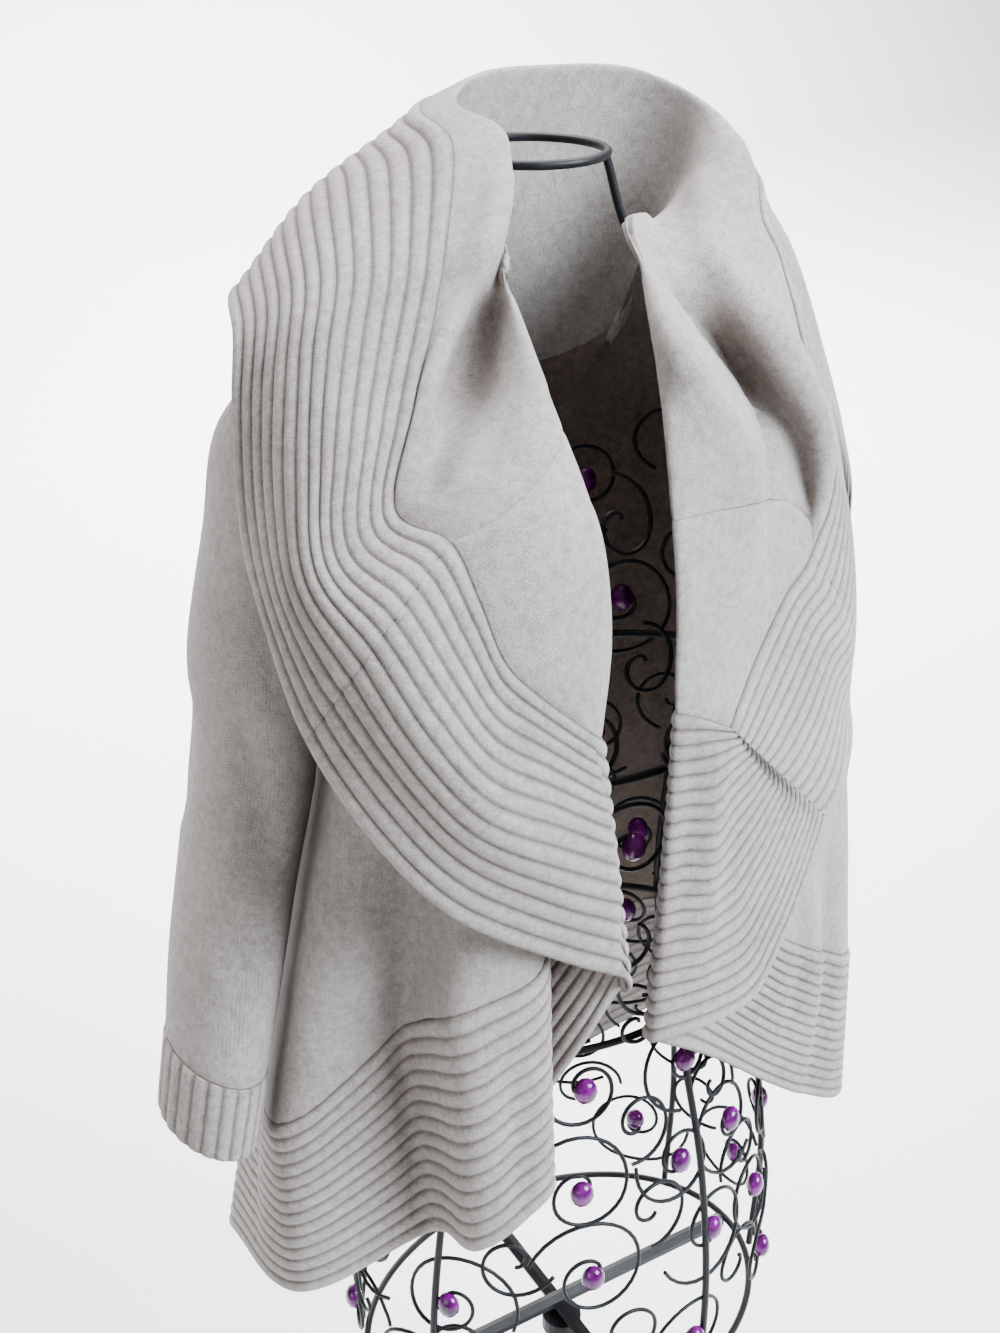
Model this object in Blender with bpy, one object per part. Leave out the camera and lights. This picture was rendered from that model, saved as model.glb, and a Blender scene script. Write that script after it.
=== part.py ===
"""A shawl collar cardigan in fine wool, hanging open on a limbless wire dress form.

The cardigan is one round of knitted cloth: a plain back and fronts, a plain shawl collar, and a
wide ribbed band that runs all round the free edge, over the shoulders, down both lapels, round
the waterfall corners and along the hem. Every piece is a closed wall between the face that
shows, which carries the ribs, and a plain one behind it. The surfaces pass through the sections
and folds of the tables below, in millimetres: +X is the wearer's left, -Y is the front, and
heights are measured up from the hip hoop of the form.
"""

import math

import bmesh
import bpy
import numpy as np

# ---- Driving dimensions (metres, unless the name says otherwise) ----
HIP_HOOP_HEIGHT = 0.235  # of the hip hoop above the surface that the base stands on
WALL = 0.0028  # thickness of the knitted cloth
MOST_SKEW = 0.25  # sine of the sharpest angle between a seam and a grid line that is allowed for
SEAM_TRIM = 0.0002  # each piece stops this far short of a seam, so a seam is 0.4 mm wide
BACK_TRIM = 0.0009  # the same for the back, whose neck and shoulder edges have longer steps
BAND_RIBS = 14  # welts across the band
RIB_HEIGHT = 0.0020
INNER_BAND_STEP = 7  # the plain inner wall of the band keeps every 7th column
CUFF_RIBS = 22
CUFF_RIB_HEIGHT = 0.0011
STEPS = 2  # grid steps between two neighbouring sections or folds
PANEL_STEPS = 4  # grid steps between two neighbouring levels of a panel
SHOULDER_STRIDE = 3  # steps of a front along the shoulder seam to one step of the back
SLEEVE_SIDES = 16
SLEEVE_GAP = 0.0019  # between a sleeve and the armhole that it starts from
WIRE = 0.0050  # diameter of the wires of the form
BAR = 0.0110  # diameter of the two bars across the hip hoop
WIRE_SIDES = 6
WIRE_SIDEWAYS = (0.3, 0.9, 0.1)  # a direction that no open wire runs along
HOOP_SEGMENTS = 28
RING_SEGMENTS = 20
CLEARANCE = 0.0004  # between wires that touch
BAR_END_GAP = 0.0020  # between the ends of the bars and the hoop, which curves away from them
BASE_RADIUS = 0.145
BASE_THICKNESS = 0.009
BASE_BEVEL = 0.003
BASE_SEGMENTS = 48
POLE_RADIUS = 0.0095
POLE_SEGMENTS = 20
HUB_RADIUS = 0.0145
HUB_THICKNESS = 0.012
SHARP_ANGLE = 50  # degrees between two faces past which the edge between them is sharp
MM = 0.001

# ---- Fronts and back: one row a fold, from the lapel round to the side seam ----
# Columns: fold, then a point (x, y, z) where the hem band ends, where the panel's band begins,
# at the low waist, under the arm, at the chest and on the shoulder or neck line.
FRONT_RIGHT = (
    ("lapel turn", (-58, -140, 408), (-78, -136, 572), (-76, -128, 660), (-78, -94, 722),
     (-73, -46, 770), (-69, 10, 777)),
    ("inner fold", (-112, -100, 268), (-101, -109, 506), (-92, -112, 606), (-90, -98, 680),
     (-86, -52, 740), (-82, 16, 775)),
    ("pleat edge", (-106, -142, 282), (-112, -139, 443), (-106, -126, 580), (-102, -108, 668),
     (-97, -58, 730), (-95, 18, 771)),
    ("middle fold", (-146, -133, 250), (-157, -131, 425), (-124, -114, 566), (-116, -98, 660),
     (-110, -54, 722), (-109, 20, 767)),
    ("hollow", (-154, -88, 229), (-170, -88, 387), (-146, -88, 540), (-134, -82, 650),
     (-127, -46, 714), (-127, 21, 762)),
    ("side fold", (-232, -70, 206), (-233, -71, 338), (-186, -62, 515), (-153, -55, 640),
     (-149, -34, 704), (-148, 21, 756)),
    ("side seam", (-234, 34, 166), (-212, 26, 296), (-181, 18, 440), (-153, 15, 560),
     (-160, -20, 655), (-168, 20, 749)),
)
BACK = (
    ("side seam right", (-234, 34, 166), (-212, 26, 296), (-181, 18, 440), (-153, 15, 560),
     (-160, 58, 655), (-168, 20, 749)),
    ("blade right", (-186, 112, 128), (-172, 94, 256), (-148, 82, 414), (-128, 84, 552),
     (-124, 88, 668), (-120, 24, 765)),
    ("shoulder right", (-128, 122, 114), (-116, 108, 242), (-106, 98, 406), (-96, 100, 549),
     (-92, 106, 680), (-70, 14, 777)),
    ("hollow right", (-66, 126, 104), (-60, 116, 232), (-54, 110, 400), (-50, 112, 547),
     (-46, 114, 650), (-50, 88, 730)),
    ("centre", (0, 156, 98), (0, 136, 226), (0, 120, 398), (0, 120, 546),
     (2, 118, 622), (12, 112, 690)),
    ("hollow left", (66, 126, 104), (60, 116, 232), (54, 110, 400), (52, 112, 547),
     (66, 114, 640), (84, 79, 717)),
    ("shoulder left", (128, 122, 114), (116, 108, 242), (106, 98, 406), (98, 100, 549),
     (104, 98, 670), (60, 16, 769)),
    ("blade left", (182, 112, 128), (166, 94, 256), (144, 84, 414), (128, 84, 552),
     (130, 82, 668), (108, 24, 758)),
    ("side seam left", (222, 36, 160), (196, 28, 296), (168, 20, 440), (147, 15, 560),
     (149, 58, 655), (146, 20, 743)),
)
FRONT_LEFT = (
    ("side seam", (222, 36, 160), (196, 28, 296), (168, 20, 440), (147, 15, 560),
     (149, -14, 655), (146, 20, 743)),
    ("side fold", (204, -50, 146), (194, -50, 280), (168, -50, 450), (142, -28, 600),
     (136, -16, 700), (130, 21, 750)),
    ("hollow", (158, -62, 172), (152, -72, 306), (140, -70, 465), (128, -36, 615),
     (118, -20, 706), (113, 21, 756)),
    ("middle fold", (128, -86, 205), (116, -98, 338), (104, -86, 485), (98, -54, 625),
     (95, -18, 718), (98, 20, 760)),
    ("pleat edge", (84, -98, 246), (72, -106, 376), (64, -94, 505), (66, -76, 630),
     (72, -22, 730), (86, 19, 763)),
    ("inner fold", (28, -112, 300), (20, -108, 440), (18, -106, 540), (22, -92, 640),
     (46, -26, 742), (74, 18, 766)),
    ("lapel turn", (-34, -128, 352), (-13, -118, 563), (-9, -111, 608), (-2, -98, 662),
     (22, -42, 740), (60, 16, 769)),
)

# ---- Lapels and collar: one row a section, from the right corner round the neck to the left ----
# Columns: section, then a point behind the roll edge or at the neck seam, on the roll edge, on
# the inner slope, in the valley, on the crest, where the band begins, and the band's own middle
# and free edge.
COLLAR = (
    ("corner right", (-78, -136, 572), (-83, -147, 575), (-86, -152, 578), (-89, -154, 580),
     (-92, -155, 583), (-96, -156, 586), (-84, -163, 520), (-69, -154, 426)),
    ("lapel right 1", (-76, -132, 616), (-79, -147, 620), (-92, -153, 620), (-104, -155, 620),
     (-117, -156, 620), (-130, -155, 619), (-118, -166, 545), (-108, -152, 451)),
    ("lapel right 2", (-76, -128, 660), (-79, -141, 662), (-96, -148, 656), (-112, -150, 650),
     (-127, -151, 643), (-142, -150, 636), (-160, -166, 575), (-167, -150, 497)),
    ("lapel right 3", (-77, -113, 694), (-82, -130, 693), (-99, -138, 686), (-116, -141, 678),
     (-132, -142, 670), (-148, -140, 662), (-184, -158, 610), (-202, -136, 543)),
    ("seam right", (-78, -94, 722), (-84, -110, 720), (-100, -122, 712), (-118, -128, 702),
     (-136, -128, 693), (-153, -122, 686), (-202, -138, 650), (-224, -108, 594)),
    ("neck right 1", (-76, -72, 746), (-84, -88, 745), (-98, -96, 736), (-118, -98, 722),
     (-142, -99, 709), (-165, -92, 694), (-212, -104, 676), (-226, -72, 640)),
    ("neck right 2", (-73, -46, 770), (-83, -64, 768), (-92, -66, 752), (-106, -64, 738),
     (-128, -66, 744), (-143, -70, 734), (-202, -78, 716), (-220, -36, 670)),
    ("neck right 3", (-70, -16, 777), (-78, -44, 782), (-82, -46, 772), (-88, -44, 768),
     (-101, -43, 774), (-117, -46, 770), (-184, -50, 757), (-214, -20, 722)),
    ("neck right 4", (-69, 10, 777), (-70, -30, 790), (-72, -33, 790), (-75, -35, 792),
     (-81, -35, 797), (-103, -32, 794), (-164, -20, 783), (-204, -4, 759)),
    ("shoulder right", (-67, 46, 768), (-61, 14, 790), (-56, 6, 808), (-50, 3, 824),
     (-48, 4, 836), (-73, 14, 833), (-135, 50, 804), (-180, 57, 761)),
    ("shoulder right 2", (-58, 76, 745), (-60, 58, 780), (-62, 52, 812), (-57, 50, 836),
     (-49, 52, 846), (-63, 66, 842), (-108, 98, 800), (-140, 108, 738)),
    ("back right", (-34, 103, 702), (-38, 98, 750), (-34, 94, 795), (-24, 92, 834),
     (-10, 94, 853), (-22, 114, 842), (-52, 140, 784), (-68, 144, 714)),
    ("back", (16, 112, 680), (20, 107, 740), (26, 104, 790), (32, 103, 834),
     (38, 105, 853), (37, 128, 840), (30, 152, 776), (24, 156, 702)),
    ("back left", (62, 106, 684), (70, 102, 745), (78, 98, 796), (86, 96, 832),
     (92, 97, 849), (100, 116, 836), (112, 138, 774), (118, 142, 704)),
    ("shoulder left 2", (85, 82, 711), (93, 74, 752), (101, 68, 790), (111, 64, 820),
     (120, 60, 832), (132, 76, 818), (156, 94, 770), (172, 94, 712)),
    ("shoulder left", (68, 44, 762), (58, 29, 778), (66, 24, 788), (84, 22, 800),
     (115, 22, 812), (129, 31, 803), (162, 46, 757), (180, 56, 702)),
    ("neck left 4", (60, 16, 769), (17, -10, 791), (19, -19, 784), (44, -12, 776),
     (88, -16, 777), (106, -12, 777), (147, 8, 754), (177, 12, 694)),
    ("neck left 3", (44, -14, 757), (8, -40, 770), (8, -54, 766), (48, -32, 752),
     (84, -40, 754), (113, -34, 743), (148, -28, 690), (168, -37, 626)),
    ("neck left 2", (22, -42, 740), (-7, -74, 743), (-2, -92, 744), (58, -46, 723),
     (83, -62, 723), (115, -52, 703), (152, -42, 643), (172, -38, 574)),
    ("neck left 1", (6, -78, 702), (-20, -104, 709), (26, -102, 704), (93, -60, 673),
     (111, -70, 673), (130, -64, 648), (157, -56, 590), (177, -42, 524)),
    ("seam left", (-2, -98, 662), (-22, -118, 667), (48, -104, 659), (98, -72, 634),
     (106, -77, 620), (102, -82, 607), (147, -72, 550), (171, -52, 480)),
    ("lapel left 3", (-6, -106, 635), (-23, -124, 636), (24, -117, 626), (50, -108, 613),
     (62, -103, 605), (70, -100, 597), (114, -92, 543), (156, -70, 470)),
    ("lapel left 2", (-9, -111, 608), (-25, -128, 610), (1, -126, 601), (21, -120, 588),
     (33, -116, 580), (42, -113, 573), (87, -108, 523), (143, -86, 456)),
    ("lapel left 1", (-11, -115, 585), (-27, -131, 587), (-11, -131, 580), (4, -129, 571),
     (14, -127, 563), (23, -124, 556), (65, -120, 512), (129, -97, 446)),
    ("corner left", (-13, -118, 563), (-27, -132, 566), (-20, -135, 564), (-11, -136, 560),
     (-1, -135, 554), (11, -132, 546), (48, -128, 507), (112, -106, 442)),
)
# The free edge of the band round the left corner, from the lapel's free edge to the hem: here the
# band fans out from the corner of the plain cloth, and its ribs swing round.
CORNER_EDGE_LEFT = (
    ("below the crest", (82, -124, 411)),
    ("below the valley", (59, -134, 384)),
    ("below the slope", (31, -140, 356)),
    ("roll edge", (-33, -144, 360)),
)
SEAM_RIGHT = 4  # the rows of COLLAR at the seams between lapel and collar
SEAM_LEFT = 20
FRONT_TOP_RIGHT = 8  # the rows of COLLAR where the fronts reach the neck
FRONT_TOP_LEFT = 16

# ---- Sleeves: one row a ring, from the armhole down ----
# Columns: ring, centre x, y, z of the right sleeve, tilt in degrees (90 stands upright in the
# armhole, 0 lies level), half its height or width across the tilt, and half its depth.
SLEEVE_RIGHT = (
    ("armhole", -169, 19, 654, 90, 91, 37),
    ("cap", -187, 18, 635, 79, 77, 41),
    ("head", -191, 16, 606, 64, 54, 47),
    ("arm top", -201, 13, 568, 36, 36, 50),
    ("upper arm", -204, 11, 528, 18, 31, 50),
    ("elbow", -221, 0, 474, 17, 29, 48),
    ("forearm", -242, -18, 414, 17, 28, 45),
    ("cuff seam", -256, -32, 372, 17, 26, 41),
    ("cuff end", -268, -41, 333, 17, 25, 39),
)
SLEEVE_LEFT = (
    ("armhole", 146, 19, 654, 90, 91, 37),
    ("cap", 158, 21, 630, 87, 72, 36),
    ("head", 170, 24, 600, 74, 54, 41),
    ("arm top", 180, 26, 565, 54, 32, 45),
    ("upper arm", 186, 27, 522, 14, 24, 46),
    ("elbow", 202, 30, 452, 8, 25, 46),
    ("forearm", 214, 34, 386, 6, 23, 43),
    ("cuff seam", 221, 36, 334, 6, 21, 40),
    ("cuff end", 226, 38, 292, 6, 20, 38),
)

# ---- Dress form: one row a level, from the hip hoop up ----
# Columns: level, height, half width, half depth, how far the centre stands aside and back.
FORM_LEVELS = (
    ("hip hoop", 0, 157, 117, 0, 0),
    ("hip", 100, 160, 116, 0, 0),
    ("upper hip", 200, 146, 105, 0, 0),
    ("waist", 305, 118, 86, 0, 2),
    ("rib cage", 405, 125, 90, 0, 1),
    ("bust", 500, 136, 92, -1, 0),
    ("chest", 590, 136, 82, -4, 6),
    ("armpit", 655, 137, 68, -7, 14),
    ("shoulder", 704, 138, 46, -10, 24),
    ("slope", 732, 97, 42, -10, 31),
    ("neck base", 770, 54, 43, -4, 40),
    ("neck ring", 820, 42, 42, -11, 42),
)
HOOPS = (("form_hip_hoop", 0), ("form_waist_hoop", 305), ("form_bust_hoop", 500))
# Columns: angle in degrees from the front round by the wearer's left, and the top's height.
UPRIGHTS = ((15, 500), (75, 820), (120, 500), (180, 820), (240, 500), (300, 820))


# ---- Curves and surfaces ----
def catmull_rom(points, steps):
    """A smooth curve through the points, each an array of any shape, with steps per interval."""
    points = np.asarray(points, float)
    first = 2 * points[0] - points[1]
    last = 2 * points[-1] - points[-2]
    padded = np.concatenate([[first], points, [last]])
    curve = []
    for index in range(len(points) - 1):
        before, start, end, after = padded[index:index + 4]
        for step in range(steps):
            t = step / steps
            curve.append(0.5 * (2 * start + (end - before) * t
                                + (2 * before - 5 * start + 4 * end - after) * t ** 2
                                + (3 * start - before - 3 * end + after) * t ** 3))
    curve.append(points[-1])
    return np.array(curve)


def table_points(table):
    """The points of a table in metres, indexed by row and column."""
    points = np.array([row[1:] for row in table], float) * MM
    points[..., 2] += HIP_HOOP_HEIGHT
    return points


def smooth_grid(points, row_steps, column_steps):
    """The surface through a net of points, finer by the given steps."""
    across = catmull_rom(np.swapaxes(catmull_rom(points, row_steps), 0, 1), column_steps)
    return np.swapaxes(across, 0, 1)


def unit(vectors):
    """The same vectors with length 1."""
    return vectors / np.linalg.norm(vectors, axis=-1, keepdims=True)


def grid_directions(grid, axis):
    """Unit directions along one axis of a grid, halfway between the steps on either side."""
    steps = unit(np.diff(grid, axis=axis))
    before = np.concatenate([np.take(steps, [0], axis), steps], axis)
    after = np.concatenate([steps, np.take(steps, [-1], axis)], axis)
    return unit(before + after)


def grid_normals(grid):
    """Normals of a grid of points on the wrong side of the cloth, short where it is skewed."""
    return np.cross(grid_directions(grid, 0), grid_directions(grid, 1))


def share_normals(sheets):
    """Makes the normals unit ones, the same for points on the edges of two sheets."""
    sums = {}
    for points, normals in sheets:
        for edge in (np.s_[0, :], np.s_[-1, :], np.s_[:, 0], np.s_[:, -1]):
            for point, normal in zip(points[edge], normals[edge]):
                key = tuple(np.round(point, 6))
                sums[key] = sums.get(key, 0) + normal
    for points, normals in sheets:
        for edge in (np.s_[0, :], np.s_[-1, :], np.s_[:, 0], np.s_[:, -1]):
            for index, point in enumerate(points[edge]):
                normals[edge][index] = sums[tuple(np.round(point, 6))]
        normals[:] = unit(normals)


def trim_edges(grid, edges, trim=SEAM_TRIM):
    """Pulls the named edges of a grid back from their seams."""
    grid = grid.copy()
    for name in edges:
        view = {"first row": grid, "last row": grid[::-1], "first column": grid.swapaxes(0, 1),
                "last column": grid.swapaxes(0, 1)[::-1]}[name]
        inward = unit(view[1] - view[0])
        steps = np.diff(view[0], axis=0)
        skews = [np.linalg.norm(np.cross(inward, unit(side)), axis=-1, keepdims=True)
                 for side in (np.concatenate([steps[:1], steps]),
                              np.concatenate([steps, steps[-1:]]))]
        view[0] += inward * trim / np.maximum(np.minimum(*skews), MOST_SKEW)
    return grid


# ---- Solids ----
def zip_edges(left, right):
    """Triangles between two lists of vertices that run side by side."""
    faces = []
    i = j = 0
    while i < len(left) - 1 or j < len(right) - 1:
        next_left = (i + 1) / (len(left) - 1)
        next_right = (j + 1) / (len(right) - 1)
        if j == len(right) - 1 or (i < len(left) - 1 and next_left <= next_right + 1e-9):
            faces.append((left[i], left[i + 1], right[j]))
            i += 1
        else:
            faces.append((left[i], right[j + 1], right[j]))
            j += 1
    return faces


def add_grid(mesh, grid):
    """Adds a grid of points to a bmesh and returns its vertices, row by row."""
    return [[mesh.verts.new(point) for point in row] for row in grid]


def add_quads(mesh, rows, flip):
    """Faces between neighbouring rows of vertices."""
    for upper, lower in zip(rows, rows[1:]):
        for index in range(len(upper) - 1):
            corners = [upper[index], upper[index + 1], lower[index + 1], lower[index]]
            mesh.faces.new(corners[::-1] if flip else corners)


def wall_mesh(name, outer, inner):
    """A closed wall between an outer and an inner grid with the same number of rows."""
    mesh = bmesh.new()
    outside = add_grid(mesh, outer)
    inside = add_grid(mesh, inner)
    add_quads(mesh, outside, False)
    add_quads(mesh, inside, True)
    for column in (0, -1):
        rim = [[row[column] for row in outside], [row[column] for row in inside]]
        add_quads(mesh, rim, column == 0)
    for row in (0, -1):
        for face in zip_edges(outside[row], inside[row]):
            mesh.faces.new(face if row == 0 else face[::-1])
    bmesh.ops.recalc_face_normals(mesh, faces=mesh.faces)
    bmesh.ops.triangulate(mesh, faces=mesh.faces)
    return finish_mesh(name, mesh)


def tube_mesh(name, outer, inner):
    """A closed sleeve between outer and inner rings, open at both ends."""
    mesh = bmesh.new()
    outside = [row + row[:1] for row in add_grid(mesh, outer)]
    inside = [row + row[:1] for row in add_grid(mesh, inner)]
    add_quads(mesh, outside, False)
    add_quads(mesh, inside, True)
    for row in (0, -1):
        for face in zip_edges(outside[row], inside[row]):
            mesh.faces.new(face if row == 0 else face[::-1])
    bmesh.ops.recalc_face_normals(mesh, faces=mesh.faces)
    bmesh.ops.triangulate(mesh, faces=mesh.faces)
    return finish_mesh(name, mesh)


def finish_mesh(name, mesh):
    """Turns a bmesh into a named object in the scene."""
    data = bpy.data.meshes.new(name)
    mesh.to_mesh(data)
    mesh.free()
    data.shade_smooth()
    data.set_sharp_from_angle(angle=math.radians(SHARP_ANGLE))
    thing = bpy.data.objects.new(name, data)
    bpy.context.scene.collection.objects.link(thing)
    return thing


def make_material(name, colour, roughness, metallic=0.0):
    """A Principled material with one colour."""
    material = bpy.data.materials.new(name)
    material.use_nodes = True
    shader = material.node_tree.nodes["Principled BSDF"]
    shader.inputs["Base Color"].default_value = (*colour, 1.0)
    shader.inputs["Roughness"].default_value = roughness
    shader.inputs["Metallic"].default_value = metallic
    return material


# ---- The cloth ----
def straighten(line, every):
    """Keeps every so many values along a line and puts the others straight between them."""
    kept = np.arange(0, len(line), every)
    for axis in range(3):
        line[:, axis] = np.interp(np.arange(len(line)), kept, line[kept, axis])


def between(start, end, turn):
    """Points strictly between two others, which bulge from the chord as the given turn does."""
    fractions = np.linspace(0.0, 1.0, len(turn))[:, None]
    bulge = turn - (turn[0] + (turn[-1] - turn[0]) * fractions)
    return (start + (end - start) * fractions + bulge)[1:-1]


def plain_sheets():
    """The plain cloth as grids on its wrong side: fronts and back by fold and level, and collar."""
    sheets = {
        "front_right": smooth_grid(table_points(FRONT_RIGHT)[:, 1:], STEPS, PANEL_STEPS),
        "back": smooth_grid(table_points(BACK)[:, 1:], STEPS, PANEL_STEPS),
        "front_left": smooth_grid(table_points(FRONT_LEFT)[:, 1:], STEPS, PANEL_STEPS),
        "collar": smooth_grid(table_points(COLLAR)[:, :6], STEPS, STEPS),
    }
    # The fronts end on the same line behind the lapels that the collar sheet starts from.
    turn = sheets["collar"][:, 0]
    sheets["front_right"][0] = turn[:FRONT_TOP_RIGHT * STEPS + 1]
    sheets["front_left"][-1] = turn[FRONT_TOP_LEFT * STEPS:][::-1]
    # The back ends along both shoulder seams and round the neck.
    for line, every in seam_lines(sheets):
        straighten(line, every)
    right, left = sheets["front_right"][::-1, -1], sheets["front_left"][::-1, -1]
    neck = turn[FRONT_TOP_RIGHT * STEPS:FRONT_TOP_LEFT * STEPS + 1]
    top = np.concatenate([right[::SHOULDER_STRIDE], neck[STEPS:-STEPS:STEPS],
                          left[::SHOULDER_STRIDE]])
    moved = top - sheets["back"][:, -1]
    share = np.linspace(0.0, 1.0, PANEL_STEPS + 1)
    sheets["back"][:, -PANEL_STEPS - 1:] += moved[:, None] * share[:, None]
    sheets["back"][:, -1] = top
    # Below the arms the fronts and the back share the side seams.
    below = 2 * PANEL_STEPS + 1
    for front, back in ((sheets["front_right"][-1], sheets["back"][0]),
                        (sheets["front_left"][0], sheets["back"][-1])):
        front[:below] = back[:below] = (front[:below] + back[:below]) / 2
    return sheets


def seam_lines(grids):
    """The shoulder and neck edges that the coarser back meets, each with the back's stride."""
    neck = slice(FRONT_TOP_RIGHT * STEPS, FRONT_TOP_LEFT * STEPS + 1)
    return ((grids["front_right"][:, -1], SHOULDER_STRIDE),
            (grids["front_left"][:, -1], SHOULDER_STRIDE), (grids["collar"][neck, 0], STEPS))


def band_sheet(sheets):
    """The ribbed band, one row a station, from the right side seam by hem and neck and back."""
    def hem(table):
        return catmull_rom(table_points(table)[::-1, :2], STEPS)

    right, back, left = hem(FRONT_RIGHT), hem(BACK), hem(FRONT_LEFT)
    lapel = catmull_rom(table_points(COLLAR)[:, 6:], STEPS)
    turn_right = sheets["collar"][0]
    turn_left = sheets["collar"][-1][::-1]
    inner = np.concatenate([right[:, 1], turn_right[1:-1], sheets["collar"][:, -1],
                            turn_left[1:-1], left[:, 1], back[1:, 1]])
    corner = catmull_rom(np.concatenate([lapel[-1:, 1], table_points(CORNER_EDGE_LEFT)[:, 0],
                                         left[:1, 0]]), STEPS)
    edge = np.concatenate([right[:, 0], between(right[-1, 0], lapel[0, 1], turn_right),
                           lapel[:, 1], corner[1:-1], left[:, 0], back[1:, 0]])
    middle = (inner + edge) / 2
    start = len(right) + len(turn_right) - 2
    middle[start:start + len(lapel)] = lapel[:, 0]
    return smooth_grid(np.stack([inner, middle, edge], axis=1), 1, BAND_RIBS)


def band_marks(sheets):
    """The rows of the band sheet that begin its six stretches, and its last row."""
    turn = sheets["collar"].shape[1] - 2
    front = (len(FRONT_RIGHT) - 1) * STEPS
    start = front + turn + 1
    end = start + len(sheets["collar"]) + turn
    return (0, front, start + SEAM_RIGHT * STEPS, start + SEAM_LEFT * STEPS, end,
            end + front, len(sheets["band"]) - 1)


def rib_heights():
    """How far each column of the band stands out: the ribs are every second column."""
    columns = np.arange(2 * BAND_RIBS + 1)
    return (columns % 2) * RIB_HEIGHT


def make_cloth(material):
    """Builds the plain pieces and the pieces of the band."""
    sheets = plain_sheets()
    sheets["band"] = band_sheet(sheets)
    marks = band_marks(sheets)
    # The ribs change sides at the corners, so the band runs straight there between the points
    # that its plain wall keeps.
    corners = (marks[1], marks[4])
    for row in corners:
        straighten(sheets["band"][row], INNER_BAND_STEP)
    normals = {name: grid_normals(grid) for name, grid in sheets.items()}
    share_normals([(sheets[name], normals[name]) for name in sheets])
    for line, every in seam_lines(normals):
        straighten(line, every)
    for row in corners:
        straighten(normals["band"][row], INNER_BAND_STEP)
    for name, trim in (("front_right", SEAM_TRIM), ("back", BACK_TRIM),
                       ("front_left", SEAM_TRIM)):
        plain_piece(name, sheets[name], normals[name], material, trim)
    low, high = SEAM_RIGHT * STEPS, SEAM_LEFT * STEPS
    for name, rows in (("lapel_right", slice(None, low + 1)), ("collar", slice(low, high + 1)),
                       ("lapel_left", slice(high, None))):
        plain_piece(name, sheets["collar"][rows], normals["collar"][rows], material)
    names = ("hem_band_right", "lapel_band_right", "collar_band", "lapel_band_left",
             "hem_band_left", "hem_band_back")
    for name, first, last in zip(names, marks, marks[1:]):
        rows = slice(first, last + 1)
        band_piece(name, sheets["band"][rows], normals["band"][rows], material)
    return sheets, normals


def plain_piece(name, grid, normal, material, trim=SEAM_TRIM):
    """A plain panel between its wrong side and the same points moved out by the wall."""
    edges = ("first row", "last row", "first column", "last column")
    piece = wall_mesh(name, trim_edges(grid, edges, trim),
                      trim_edges(grid - normal * WALL, edges, trim))
    piece.data.materials.append(material)


def band_piece(name, grid, normal, material):
    """A stretch of band: ribs on the face that shows over a plain one behind."""
    edges = ("first row", "last row", "first column")
    ribs = normal * rib_heights()[:, None]
    right_side = grid - normal * WALL
    if name.startswith("hem"):
        outer, inner = right_side - ribs, grid[:, ::INNER_BAND_STEP]
    else:
        outer, inner = grid + ribs, right_side[:, ::INNER_BAND_STEP]
    piece = wall_mesh(name, trim_edges(outer, edges), trim_edges(inner, edges))
    piece.data.materials.append(material)


# ---- Sleeves ----
def sleeve_rings(table, armhole):
    """Rings of points from the armhole down, each starting under the arm and going forward."""
    side = math.copysign(1.0, table[0][1])
    rows = np.array([row[1:] for row in table], float)
    rings = []
    for x, y, z, tilt, half_height, half_depth in rows:
        centre = np.array([x, y, z]) * MM + [0, 0, HIP_HOOP_HEIGHT]
        tilt = math.radians(tilt)
        down = np.array([-side * math.cos(tilt), 0, -math.sin(tilt)]) * half_height * MM
        forward = np.array([0, -half_depth * MM, 0])
        turns = np.arange(SLEEVE_SIDES) * math.tau / SLEEVE_SIDES
        rings.append([centre + down * math.cos(turn) + forward * math.sin(turn) for turn in turns])
    rings = np.array(rings)
    rings[0] = armhole + [side * SLEEVE_GAP, 0, 0]
    return rings


def ring_normals(rings, side):
    """Unit normals of a tube of rings."""
    around = np.roll(rings, -1, axis=1) - np.roll(rings, 1, axis=1)
    along = np.gradient(rings, axis=0)
    return unit(-np.cross(around, along) * side)


def make_sleeve(label, table, armhole, material):
    """A sleeve from the armhole to the cuff seam, and its ribbed cuff."""
    side = math.copysign(1.0, table[0][1])
    rings = sleeve_rings(table, armhole)
    normals = ring_normals(rings, side)
    sleeve, sleeve_normals = rings[:-1], normals[:-1]
    edges = ("first row", "last row")
    piece = tube_mesh("sleeve_" + label, trim_edges(sleeve, edges),
                      trim_edges(sleeve - sleeve_normals * WALL, edges))
    piece.data.materials.append(material)
    plain = rings[-2:]
    fine = around_finely(plain, 2 * CUFF_RIBS)
    fine_normals = around_finely(normals[-2:], 2 * CUFF_RIBS)
    raised = (np.arange(2 * CUFF_RIBS) % 2) * CUFF_RIB_HEIGHT
    inner = plain - normals[-2:] * WALL
    piece = tube_mesh("cuff_" + label,
                      trim_edges(fine + fine_normals * raised[:, None], edges[:1]),
                      trim_edges(inner, edges[:1]))
    piece.data.materials.append(material)


def around_finely(rings, count):
    """The same rings with count points each, on smooth closed curves."""
    turns = np.arange(count) / count * rings.shape[1]
    index = np.floor(turns).astype(int)
    t = (turns - index)[:, None]
    result = []
    for ring in rings:
        before, start, end, after = (ring[(index + shift) % len(ring)] for shift in (-1, 0, 1, 2))
        result.append(0.5 * (2 * start + (end - before) * t
                             + (2 * before - 5 * start + 4 * end - after) * t ** 2
                             + (3 * start - before - 3 * end + after) * t ** 3))
    return np.array(result)


# ---- Dress form ----
def form_size(height):
    """Half width, half depth and centre of the form at a height above the hip hoop, in mm."""
    levels = np.array([row[1:] for row in FORM_LEVELS], float)
    return [np.interp(height, levels[:, 0], levels[:, column]) for column in (1, 2, 3, 4)]


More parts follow.
